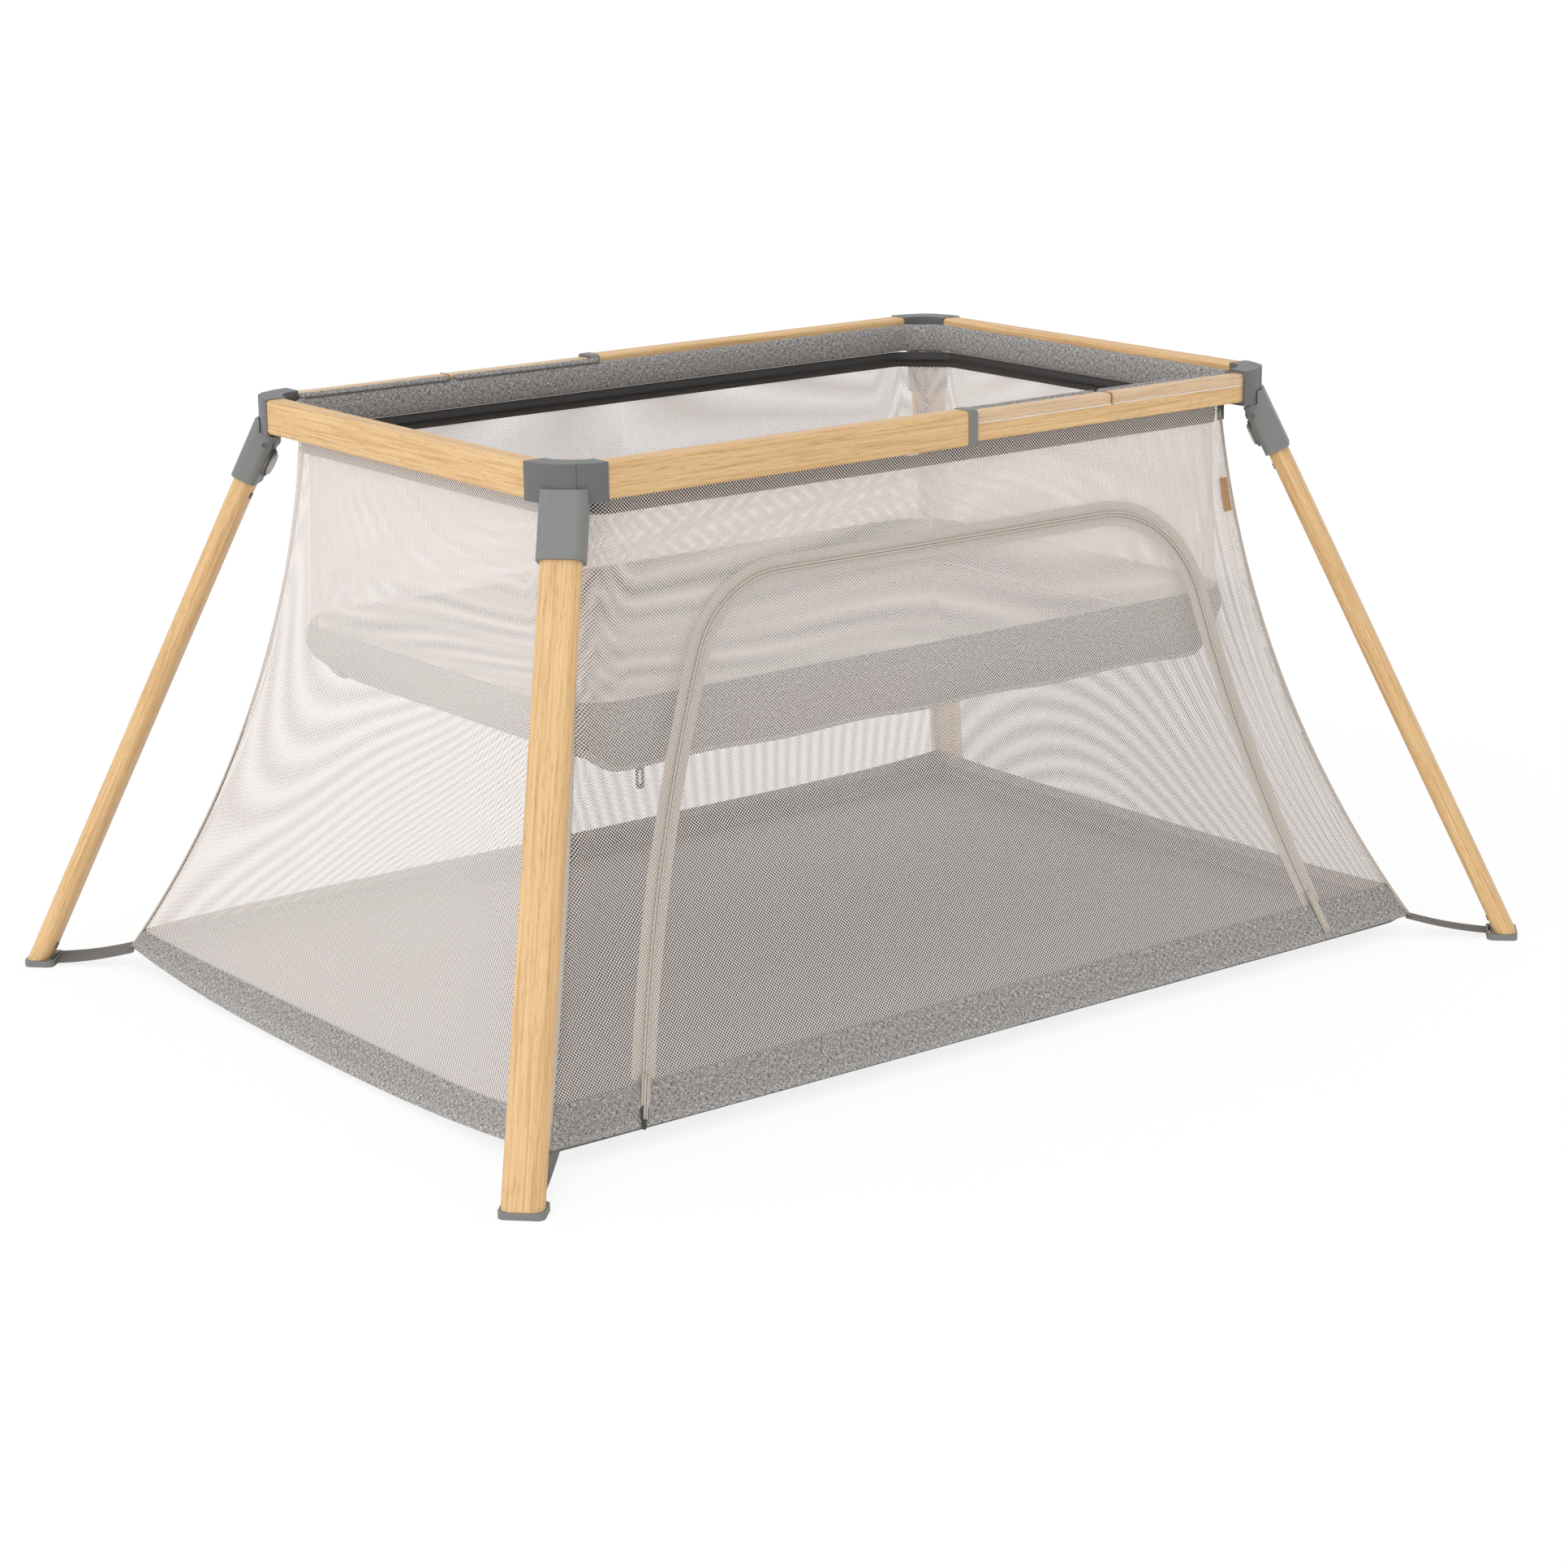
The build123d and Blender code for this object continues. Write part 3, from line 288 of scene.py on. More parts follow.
# View of the photograph
CAMERA_AZIMUTH = math.radians(-37.31)
CAMERA_ELEVATION = math.radians(15.15)
CAMERA_ROLL = math.radians(-0.75)
CAMERA_TARGET = Vector((0.01553, 0.0, 0.1908))
CAMERA_DISTANCE = 4.05925
CAMERA_LENS = 82.66
CAMERA_SENSOR = 36.0
CAMERA_CLIP = 500.0

# Floor and light
WHITE = (1.0, 1.0, 1.0, 1.0)
FLOOR_SIZE = 120.0
FLOOR_COLOR = (0.95, 0.95, 0.95, 1.0)
FLOOR_GLOW = 1.04
FLOOR_GLOW_SHARE = 0.8
SKY_STRENGTH = 0.82
LAMP_ENERGY = 0.78
LAMP_ANGLE = math.radians(50)
LAMP_PLACE = Vector((-0.92, -0.14, 0.52))

HALVES = {"left": -1, "right": 1}
WALL_WAYS = {"front": (0, -1), "back": (0, 1), "left": (-1, 0), "right": (1, 0)}


# Materials


def add_node(tree, kind, inputs=None, **settings):
    """Shader node with its sockets linked to other sockets or set to plain values."""
    made = tree.nodes.new("ShaderNode" + kind)
    for key, value in settings.items():
        setattr(made, key, value)
    for key, value in (inputs or {}).items():
        if isinstance(value, bpy.types.NodeSocket):
            tree.links.new(value, made.inputs[key])
        else:
            made.inputs[key].default_value = value
    return made


def math_node(tree, operation, *values):
    return add_node(tree, "Math", dict(enumerate(values)), operation=operation).outputs[0]


def mixed_color(tree, share, first, second, **settings):
    """Mix of two colours; the node's sockets 6, 7 and output 2 are its colour ones."""
    inputs = {0: share, 6: first, 7: second}
    return add_node(tree, "Mix", inputs, data_type="RGBA", **settings).outputs[2]


def plain_material(name, color, roughness, metallic=0.0):
    material = bpy.data.materials.new(name)
    material.use_nodes = True
    shader = material.node_tree.nodes["Principled BSDF"]
    shader.inputs["Base Color"].default_value = (*color, 1.0)
    shader.inputs["Roughness"].default_value = roughness
    shader.inputs["Metallic"].default_value = metallic
    return material


def to_shader(tree, name, socket):
    tree.links.new(socket, tree.nodes["Principled BSDF"].inputs[name])


def ramp(tree, factor, stops):
    """Colour ramp through (position, colour) stops."""
    made = add_node(tree, "ValToRGB", {"Fac": factor})
    elements = made.color_ramp.elements
    for position, color in stops[1:-1]:
        elements.new(position)
    for element, (position, color) in zip(elements, stops):
        element.position = position
        element.color = (*color, 1.0)
    return made.outputs["Color"]


def shades(color, tones, brightness=1.0):
    """Stops of a ramp through lighter and darker shades of one colour."""
    stops = []
    for position, tone in tones:
        stops.append((position, tuple(min(1.0, tone * brightness * part) for part in color)))
    return stops


def add_bump(tree, height, strength, distance):
    bump = add_node(tree, "Bump", {"Height": height, "Strength": strength, "Distance": distance})
    to_shader(tree, "Normal", bump.outputs["Normal"])


def stretched_noise(tree, vector, scale, detail):
    mapped = add_node(tree, "Mapping", {"Vector": vector, "Scale": scale}).outputs["Vector"]
    noise = add_node(tree, "TexNoise", {"Vector": mapped, "Scale": 1.0, "Detail": detail})
    return noise.outputs["Fac"]


def oak_material(name, along):
    """Light oak wrap with its grain along one direction."""
    material = plain_material(name, OAK_BASE, OAK_ROUGHNESS)
    tree = material.node_tree
    grain = Vector(along).normalized()
    side = grain.orthogonal().normalized()
    turn = Matrix((grain, side, grain.cross(side))).to_euler()
    place = add_node(tree, "TexCoord").outputs["Object"]
    turned = add_node(tree, "Mapping", {"Vector": place, "Rotation": turn}).outputs["Vector"]
    broad = stretched_noise(tree, turned, OAK_FIGURE, 2.0)
    fibre = stretched_noise(tree, turned, OAK_FIBRE, 4.0)
    pores = stretched_noise(tree, turned, OAK_PORES, 2.0)
    rings = math_node(tree, "MULTIPLY", broad, OAK_RINGS)
    rings = math_node(tree, "SINE", rings)
    figure = math_node(tree, "MULTIPLY_ADD", rings, OAK_RING_SHARE, fibre)
    color = ramp(tree, figure, OAK_TONES)
    fleck = ramp(tree, pores, OAK_PORE_TONES)
    color = mixed_color(tree, 1.0, color, fleck, blend_type="MULTIPLY")
    to_shader(tree, "Base Color", color)
    add_bump(tree, pores, *OAK_BUMP)
    return material


def moulded_material(name, color, roughness):
    """Moulded plastic with a fine matt texture."""
    material = plain_material(name, color, roughness)
    tree = material.node_tree
    place = add_node(tree, "TexCoord").outputs["Object"]
    grain = stretched_noise(tree, place, (MOULDED_GRAIN,) * 3, 2.0)
    add_bump(tree, grain, *MOULDED_BUMP)
    return material


def cut_place(tree):
    """Place on the flat cut of a cloth piece, in metres."""
    return add_node(tree, "UVMap", uv_map="cut").outputs["UV"]


def melange_material(name, brightness):
    """Woven cloth of mixed grey yarns: short streaks along both thread directions."""
    material = plain_material(name, MELANGE_BASE, MELANGE_ROUGHNESS)
    tree = material.node_tree
    place = cut_place(tree)
    weft = stretched_noise(tree, place, (MELANGE_ALONG, MELANGE_ACROSS, 1.0), 2.0)
    warp = stretched_noise(tree, place, (MELANGE_ACROSS, MELANGE_ALONG, 1.0), 2.0)
    yarn = math_node(tree, "ADD", weft, warp)
    low, high = MELANGE_RANGE
    streak = add_node(tree, "MapRange", {"Value": yarn, "From Min": low, "From Max": high})
    stops = shades(MELANGE_TINT, MELANGE_TONES, brightness)
    color = ramp(tree, streak.outputs["Result"], stops)
    to_shader(tree, "Base Color", color)
    add_bump(tree, yarn, *MELANGE_BUMP)
    return material


def net_material(name, color, opening):
    """Knitted net with staggered round holes; opening shifts the share that the holes take."""
    material = plain_material(name, color, NET_ROUGHNESS)
    tree = material.node_tree
    scale = 2 * math.pi / NET_PITCH
    turned = add_node(tree, "Mapping", {
        "Vector": cut_place(tree),
        "Rotation": (0.0, 0.0, math.pi / 4),
        "Scale": (scale, scale, scale),
    }).outputs["Vector"]
    parts = add_node(tree, "SeparateXYZ", {"Vector": turned})
    waves = [math_node(tree, "COSINE", parts.outputs[axis]) for axis in "XY"]
    height = math_node(tree, "ADD", *waves)
    thread = add_node(tree, "MapRange", {
        "Value": height,
        "From Min": opening - NET_EDGE,
        "From Max": opening + NET_EDGE,
        "To Min": 1.0,
        "To Max": 0.0,
    }).outputs["Result"]
    to_shader(tree, "Alpha", thread)
    return material


def strip_material(name):
    """Clear moulded strip, nearly unseen, with a painted highlight along its lower edge and a tick
    of painted shade at each notch and at the break.
    """
    material = plain_material(name, STRIP_COLOR, STRIP_ROUGHNESS)
    tree = material.node_tree
    place = add_node(tree, "TexCoord").outputs["Object"]
    place = add_node(tree, "SeparateXYZ", {"Vector": place}).outputs
    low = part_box("front_rail_clear_strips")[0].z
    # painted highlight: a near-white band along the strip's lower edge
    edge = math_node(tree, "LESS_THAN", place["Z"], low + STRIP_HIGHLIGHT_EDGE)
    # ticks of painted shade in the notches on the inner face and in the break between the strips
    phase = math_node(tree, "FLOORED_MODULO", place["X"], STRIP_NOTCH_PITCH)
    notch = math_node(tree, "LESS_THAN", phase, STRIP_TICK)
    from_middle = math_node(tree, "ABSOLUTE", place["Y"])
    inner_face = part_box("back_rail_clear_strips")[0].y + STRIP_INNER_SKIN
    inner = math_node(tree, "LESS_THAN", from_middle, inner_face)
    notch = math_node(tree, "MULTIPLY", notch, inner)
    reach = math_node(tree, "ABSOLUTE", place["X"])
    break_shade = math_node(tree, "COMPARE", reach, STRIP_BREAK, STRIP_TICK)
    tick = math_node(tree, "MAXIMUM", notch, break_shade)
    color = mixed_color(tree, tick, (*STRIP_COLOR, 1.0), STRIP_TICK_SHADE_COLOR)
    painted_highlight_and_shade = math_node(tree, "MAXIMUM", edge, tick)
    faint, strong = STRIP_ALPHA
    alpha = add_node(tree, "MapRange", {"Value": painted_highlight_and_shade, "To Min": faint, "To Max": strong})
    to_shader(tree, "Base Color", color)
    to_shader(tree, "Alpha", alpha.outputs["Result"])
    return material


def woven_material(name, color, roughness, threads):
    """Close narrow weave for tapes and webbing."""
    material = plain_material(name, color, roughness)
    tree = material.node_tree
    place = cut_place(tree)
    ribs = stretched_noise(tree, place, (threads, threads * WOVEN_STRETCH, 1.0), 2.0)
    to_shader(tree, "Base Color", ramp(tree, ribs, shades(color, WOVEN_TONES)))
    add_bump(tree, ribs, *WOVEN_BUMP)
    return material


NET = net_material("tent net", (0.90, 0.825, 0.78), opening=-0.18)
END_NET = net_material("end wall net", (0.90, 0.835, 0.80), opening=0.34)
BASSINET_NET = net_material("bassinet net", (0.95, 0.885, 0.845), opening=0.05)
MELANGE = melange_material("grey melange", brightness=1.0)
MELANGE_SKIRT = melange_material("grey melange skirt", brightness=1.06)
MELANGE_MAT = melange_material("grey melange mat", brightness=0.82)
MELANGE_DARK = melange_material("dark melange tab", brightness=0.45)
MELANGE_BINDING = melange_material("pale melange binding", brightness=1.5)
MELANGE_TUB = melange_material("grey melange tub", brightness=0.95)
MELANGE_HEM = melange_material("pale melange hem", brightness=1.18)
TAPE = woven_material("beige tape", (0.60, 0.535, 0.46), roughness=0.85, threads=1400.0)
ZIP_CORD_CLOTH = woven_material("zip cord", (0.66, 0.60, 0.53), roughness=0.6, threads=1800.0)
CHARCOAL = woven_material("charcoal zip tape", (0.052, 0.047, 0.043), roughness=0.7, threads=900.0)
CHARCOAL_COIL = woven_material(
    "charcoal zip coil", (0.020, 0.018, 0.017), roughness=0.45, threads=1500.0
)
WEBBING = woven_material("grey webbing", (0.20, 0.19, 0.185), roughness=0.85, threads=900.0)
DARK_METAL = plain_material("dark metal", (0.10, 0.095, 0.09), roughness=0.35, metallic=0.9)
TAN = woven_material("tan label", (0.50, 0.29, 0.13), roughness=0.6, threads=700.0)
DARK_RING = moulded_material("dark button ring", (0.035, 0.035, 0.036), roughness=0.5)

# Darker copy of the grey plastic for the hubs, which are the same plastic as the sockets: painted
# shade for the hub sides that take less light
SHADED_HUB_PLASTIC = moulded_material("grey hub plastic with painted shade", (0.145, 0.148, 0.145), roughness=0.42)
SLOT_MATERIALS = {
    "grey_plastic": moulded_material("grey plastic", (0.225, 0.228, 0.222), roughness=0.48),
    "button_plastic": moulded_material("light button plastic", (0.50, 0.50, 0.49), roughness=0.45),
    "white_plastic": plain_material("white plastic", (0.83, 0.83, 0.81), roughness=0.25),
    "dark_plastic": moulded_material("dark plastic", (0.05, 0.05, 0.05), roughness=0.5),
    "clear_plastic": strip_material("clear plastic"),
    "steel": plain_material("dark steel", (0.16, 0.16, 0.16), roughness=0.35, metallic=0.9),
}


def leg_direction(node):
    """Unit vector down a leg, from the corner in its node's name."""
    out_x = -1 if node.endswith("left") else 1
    out_y = -1 if "front" in node else 1
    out = math.sin(LEG_SPLAY) / math.sqrt(2)
    return (out_x * out, out_y * out, -math.cos(LEG_SPLAY))


for subpart in frame["record"]["subparts"]:
    node_name, slot_name = subpart["node"], subpart["material_slot"]
    if slot_name.startswith("wood_effect"):
        if slot_name == "wood_effect_leg":
            direction = leg_direction(node_name)
        else:
            direction = (0, 1, 0) if "end_rail" in node_name else (1, 0, 0)
        finish = oak_material("oak " + node_name, direction)
    elif node_name.startswith("hub"):
        # hubs take the darker copy of the grey plastic, painted shade
        finish = SHADED_HUB_PLASTIC
    elif slot_name in SLOT_MATERIALS:
        finish = SLOT_MATERIALS[slot_name]
    else:
        continue
    nodes[node_name].data.materials.clear()
    nodes[node_name].data.materials.append(finish)


# Mesh building


def add_object(name, data):
    made = bpy.data.objects.new(name, data)
    bpy.context.scene.collection.objects.link(made)
    return made


def cloth_mesh(name, points, faces, flat):
    """Mesh object with its flat cut kept as a UV layer in metres."""
    mesh = bpy.data.meshes.new(name)
    mesh.from_pydata(points.tolist(), [], [list(face) for face in faces])
    corners = np.zeros(len(mesh.loops), np.int32)
    mesh.loops.foreach_get("vertex_index", corners)
    layer = mesh.uv_layers.new(name="cut")
    layer.data.foreach_set("uv", flat[corners].astype(np.float32).ravel())
    mesh.shade_smooth()
    return add_object(name, mesh)


def grid_faces(rows, columns, wrap=False):
    """Quads of a grid of points, joined round when its last column meets the first."""
    index = np.arange(rows * columns).reshape(rows, columns)
    if wrap:
        index = np.concatenate([index, index[:, :1]], axis=1)
    quads = np.stack([index[:-1, :-1], index[:-1, 1:], index[1:, 1:], index[1:, :-1]], axis=-1)
    return quads.reshape(-1, 4).tolist()


def path_lengths(points):
    steps = np.linalg.norm(np.diff(points, axis=0), axis=1)
    return np.concatenate([[0.0], np.cumsum(steps)])


def flat_cut(across, along):
    return np.stack(np.meshgrid(across, along), axis=-1)


def grid_cloth(name, points, flat):
    rows, columns = points.shape[:2]
    return cloth_mesh(name, points.reshape(-1, 3), grid_faces(rows, columns), flat.reshape(-1, 2))


def swept(name, path, side, out, profile):
    """Closed strip: a profile of (side, out) points along a path, with one way or one a point."""
    profile = np.array(profile)
    points = (
        path[:, None, :]
        + profile[None, :, :1] * side[:, None, :]
        + profile[None, :, 1:] * out[:, None, :]
    )
    rows, columns = points.shape[:2]
    faces = grid_faces(rows, columns, wrap=True)
    faces.append(list(range(columns))[::-1])
    faces.append(list(range((rows - 1) * columns, rows * columns)))
    flat = flat_cut(path_lengths(profile), path_lengths(path))
    return cloth_mesh(name, points.reshape(-1, 3), faces, flat.reshape(-1, 2))


def half_round(width, height):
    """Profile of a rounded tape: flat behind, domed in front."""
    angles = np.linspace(0.0, math.pi, DOME_STEPS)
    return [(-width / 2 * math.cos(angle), height * math.sin(angle)) for angle in angles]


def place_piece(piece, material, body, replaced):
    piece.data.materials.append(material)
    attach(piece, body)
    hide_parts(*replaced)
    return piece


def as_sheet(piece):
    """Work out the flat size of a piece of cloth, a frame-like cut counting as one strip; the size
    is not kept.
    """
    mesh = piece.data
    flat = np.array([loop.uv[:] for loop in mesh.uv_layers["cut"].data])
    area = 0.0
    for face in mesh.polygons:
        corners = flat[list(face.loop_indices)]
        x, y = corners[:, 0], corners[:, 1]
        area += abs(np.dot(x, np.roll(y, -1)) - np.dot(y, np.roll(x, -1))) / 2
    width, length = np.ptp(flat, axis=0)
    if area < LEAST_FILL * width * length:
        width = area / length
    area = min(area, width * length)


def frame_body(side):
    return "left_frame" if side < 0 else "right_frame"


# Tent shape


def bowed(top, bottom, bow):
    """Distance from the middle at each height, for an edge bowed inward between rail and hem."""
    run, drop = bottom - top, TENT_TOP - HEM
    chord = math.hypot(run, drop)
    radius = chord / (2 * math.sin(bow))
    centre_out = (top + bottom) / 2 + drop / chord * radius * math.cos(bow)
    centre_up = (TENT_TOP + HEM) / 2 + run / chord * radius * math.cos(bow)
    return lambda z: centre_out - np.sqrt(radius**2 - (z - centre_up) ** 2)


DROP = TENT_TOP - HEM
half_x = bowed(TOP_X, BOTTOM_X, math.atan2(BOTTOM_X - TOP_X, DROP))
half_y = bowed(TOP_Y, BOTTOM_Y, math.atan2(BOTTOM_Y - TOP_Y, DROP))
corner_out = bowed(CORNER_TOP, CORNER_BOTTOM, CORNER_BOW)

LEVELS = np.linspace(HEM, TENT_TOP, LEVEL_STEPS)
SLANT = path_lengths(np.stack([half_y(LEVELS), LEVELS], axis=-1))


def slant_height(z):
    """Length of cloth from the hem up to a height."""
    return np.interp(z, LEVELS, SLANT)


def is_long(wall):
    return wall in ("front", "back")


def wall_edge(wall, z):
    """Half length of a wall at a height, out to the tent's corner line."""
    shift = CORNER_OFFSET if is_long(wall) else -CORNER_OFFSET
    return (math.sqrt(2) * corner_out(z) + shift) / 2


def soft_min(a, b, round_over):
    share = np.clip(0.5 + (b - a) / (2 * round_over), 0, 1)
    return b + (a - b) * share - round_over * share * (1 - share)


def wall_depth(wall, along, z):
    """Distance of a wall from the middle, with its ends drawn in towards the corner lines."""
    half = half_y(z) if is_long(wall) else half_x(z)
    cut = math.sqrt(2) * corner_out(z)
    drawn_in = half - (cut - wall_edge(wall, z))
    round_over = np.maximum(CORNER_SOFTNESS * drawn_in, LEAST_CORNER_ROUND)
    return soft_min(half, cut - np.abs(along), round_over)


def ripple(wall, along, z):
    """Gentle unevenness of the stretched net, and one soft crease beside the near corner."""
    seed = RIPPLE_SHIFT * list(WALL_WAYS).index(wall)
    share = np.clip((z - SKIRT_TOP) / (TENT_TOP - SKIRT_TOP), 0, 1)
    edge = wall_edge(wall, z)
    held = np.sin(math.pi * share) * np.clip(1 - (along / edge) ** 2, 0, 1)
    long_wave = np.sin(LONG_RIPPLE[0] * along + LONG_RIPPLE[1] * z + seed)
    short_wave = np.sin(SHORT_RIPPLE[0] * along + SHORT_RIPPLE[1] * z + 2 * seed)
    lift = RIPPLE * held * (long_wave + SHORT_RIPPLE_SHARE * short_wave)
    if wall == "front":
        start, end = np.array(CREASE_TOP), np.array(CREASE_FOOT)
        way = (end - start) / np.linalg.norm(end - start)
        place = np.stack([along, z], axis=-1) - start
        reach = place @ way / np.linalg.norm(end - start)
        aside = place @ np.array([-way[1], way[0]])
        window = np.clip(np.sin(math.pi * np.clip(reach, 0, 1)), 0, 1)
        lift = lift - CREASE_DEPTH * window * np.exp(-((aside / CREASE_WIDTH) ** 2))
    return lift


def on_wall(wall, along, z, lift=0.0):
    """Points on a wall's cloth, lifted outward from it."""
    along, z = np.broadcast_arrays(np.asarray(along, float), np.asarray(z, float))
    depth = wall_depth(wall, along, z) + ripple(wall, along, z) + lift
    way_x, way_y = WALL_WAYS[wall]
    if is_long(wall):
        return np.stack([along, way_y * depth, z], axis=-1)
    return np.stack([way_x * depth, along, z], axis=-1)


def half_of_wall(wall, side):
    """Body that carries one half of a wall, and the signs of that half's corner."""
    way_x, way_y = WALL_WAYS[wall]
    if is_long(wall):
        return frame_body(side), (side, way_y)
    return frame_body(way_x), (way_x, side)


def fold_with_legs(piece, wall, side):
    """Give a piece of the tent its own copy of its mesh; it is not bunched up under the rail as the
    legs fold.
    """
    body, (corner_x, corner_y) = half_of_wall(wall, side)
    middle = side * float(wall_edge(wall, TENT_TOP)) * FOLD_ANCHOR
    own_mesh(piece)


def wall_sheet(piece, material, wall, side, replaced, body=None):
    """Finish a sheet and set it to ride on the body of its half of a wall, or on another."""
    place_piece(piece, material, body or half_of_wall(wall, side)[0], [replaced])
    as_sheet(piece)
    fold_with_legs(piece, wall, side)


def hang_fold(piece):
    """Give a hung piece its own copy of its mesh; it is not lifted as the legs fold."""
    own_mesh(piece)


def half_name(wall, side):
    names = ("left", "right") if is_long(wall) else ("front", "back")
    return names[0] if side < 0 else names[1]


def wall_grid(wall, side, levels, lifts, columns):
    """Grid of points over one half of a wall, from heights and lifts by row and column."""
    shares = np.linspace(0.0, 1.0, columns)
    level_grid = np.broadcast_to(levels, (len(levels), columns))
    along = side * shares[None, :] * wall_edge(wall, level_grid)
    inset = RIGHT_HALF_INSET if is_long(wall) and side > 0 else 0.0
    points = on_wall(wall, along, level_grid, lifts - inset)
    flat = np.stack([along, slant_height(level_grid)], axis=-1)
    return points, flat


# Net walls, with the door cut out of the front one

WALL_NODES = {wall: f"{wall}_mesh_wall" for wall in WALL_WAYS}
NET_LEVELS = np.linspace(SKIRT_TOP - NET_TUCK, TENT_TOP, WALL_ROWS)
SIDE_NET_FOOT = SKIRT_TOP - max(SEAM_DROP.values()) - NET_TUCK
SIDE_NET_LEVELS = np.linspace(SIDE_NET_FOOT, TENT_TOP, WALL_ROWS)

for wall in ("back", "left", "right"):
    for side in (-1, 1):
        points, flat = wall_grid(wall, side, SIDE_NET_LEVELS[:, None], 0.0, WALL_COLUMNS)
        piece = grid_cloth(f"{wall}_net_{half_name(wall, side)}", points, flat)
        net = NET if is_long(wall) else END_NET
        wall_sheet(piece, net, wall, side, WALL_NODES[wall])


def rounded_bend(before, corner, after, radius, steps):
    """Points of an arc that rounds one corner of a line."""
    before, corner, after = (np.array(p, float) for p in (before, corner, after))
    back = (before - corner) / np.linalg.norm(before - corner)
    ahead = (after - corner) / np.linalg.norm(after - corner)
    half_angle = math.acos(float(np.clip(back @ ahead, -1, 1))) / 2
    middle_way = (back + ahead) / np.linalg.norm(back + ahead)
    centre = corner + middle_way * radius / math.sin(half_angle)
    start = corner + back * radius / math.tan(half_angle) - centre
    end = corner + ahead * radius / math.tan(half_angle) - centre
    turn = math.atan2(start[0] * end[1] - start[1] * end[0], start @ end)
    angles = np.linspace(0.0, turn, steps)
    cos, sin = np.cos(angles), np.sin(angles)
    across, up = start[0] * cos - start[1] * sin, start[0] * sin + start[1] * cos
    return centre + np.stack([across, up], axis=-1)


def straight(start, end, steps):
    return np.linspace(np.array(start, float), np.array(end, float), steps)


def door_line(low):
    """Front view line of the door's zip, from its left foot over the arch to its right foot."""
    foot_left, foot_right = (DOOR_FOOT_LEFT, SKIRT_TOP), (DOOR_FOOT_RIGHT, SKIRT_TOP)
    head_left, head_right = (DOOR_HEAD_LEFT, DOOR_HEAD), (DOOR_HEAD_RIGHT, DOOR_HEAD)
    left = rounded_bend(foot_left, head_left, head_right, DOOR_ROUND_LEFT, DOOR_BEND_STEPS)
    right = rounded_bend(head_left, head_right, foot_right, DOOR_ROUND_RIGHT, DOOR_BEND_STEPS)
    share = (low - SKIRT_TOP) / (DOOR_HEAD - SKIRT_TOP)
    start = (DOOR_FOOT_LEFT + share * (DOOR_HEAD_LEFT - DOOR_FOOT_LEFT), low)
    end = (DOOR_FOOT_RIGHT + share * (DOOR_HEAD_RIGHT - DOOR_FOOT_RIGHT), low)
    parts = [
        straight(start, left[0], DOOR_SIDE_STEPS)[:-1],
        left,
        straight(left[-1], right[0], DOOR_HEAD_STEPS)[1:-1],
        right,
        straight(right[-1], end, DOOR_SIDE_STEPS)[1:],
    ]
    return np.concatenate(parts)


def inside(outline, points):
    """Which points lie inside a closed outline."""
    found = np.zeros(len(points), bool)
    x, y = points[:, 0], points[:, 1]
    for (x1, y1), (x2, y2) in zip(outline, np.roll(outline, -1, axis=0)):
        crosses = (y1 > y) != (y2 > y)
        with np.errstate(divide="ignore", invalid="ignore"):
            found ^= crosses & (x < (x2 - x1) * (y - y1) / (y2 - y1) + x1)
    return found


def front_triangles():
    """Front wall in (along, height), meshed so that the zip's line and the middle are edges."""
    low = float(NET_LEVELS[0])
    chains = [door_line(low)]
    edges = wall_edge("front", NET_LEVELS)
    chains.append(np.stack([-edges, NET_LEVELS], axis=-1))
    chains.append(np.stack([edges, NET_LEVELS], axis=-1))
    for row in (0, -1):
        level = NET_LEVELS[row]
        chains.append(straight((-edges[row], level), (edges[row], level), FRONT_EDGE_STEPS))
    chains.append(straight((0.0, low), (0.0, TENT_TOP), WALL_ROWS))
    points, links = [], []
    for chain in chains:
        start = len(points)
        points.extend(chain.tolist())
        links.extend((start + n, start + n + 1) for n in range(len(chain) - 1))
    fixed = np.array(points)
    across = np.arange(-BOTTOM_X, BOTTOM_X, FRONT_STEP)
    up = np.arange(low + FRONT_STEP / 2, TENT_TOP, FRONT_STEP)
    least = FRONT_LEAST_STEP * FRONT_STEP
    for row, level in enumerate(up):
        for place in across + (row % 2) * FRONT_STEP / 2:
            near = np.min(np.hypot(fixed[:, 0] - place, fixed[:, 1] - level))
            if near > least and abs(place) < wall_edge("front", level) - least:
                points.append([place, level])
    made = delaunay_2d_cdt([Vector(p) for p in points], links, [], 0, SAME_PLACE)
    vertices = np.array([v[:] for v in made[0]])
    triangles = np.array(made[2])
    centres = vertices[triangles].mean(axis=1)
    kept = np.abs(centres[:, 0]) < wall_edge("front", centres[:, 1])
    return vertices, triangles[kept], centres[kept]


front_vertices, front_faces, front_centres = front_triangles()
in_door = inside(door_line(float(NET_LEVELS[0])), front_centres)
for half, side in HALVES.items():
    on_half = front_centres[:, 0] * side > 0
    for name, chosen, body, replaced in (
        (f"front_net_{half}", on_half & ~in_door, frame_body(side), "front_mesh_wall"),
        (f"door_net_{half}", on_half & in_door, f"door_{half}", f"door_panel_{half}"),
    ):
        used, faces = np.unique(front_faces[chosen], return_inverse=True)
        spots = front_vertices[used]
        inset = RIGHT_HALF_INSET if side > 0 else 0.0
        points = on_wall("front", spots[:, 0], spots[:, 1], -inset)
        flat = np.stack([spots[:, 0], slant_height(spots[:, 1])], axis=-1)
        piece = cloth_mesh(name, points, faces.reshape(-1, 3).tolist(), flat)
        wall_sheet(piece, NET, "front", side, replaced, body=body)


# Door zip: tapes behind the net, coil cords in front, and both carried down over the skirt


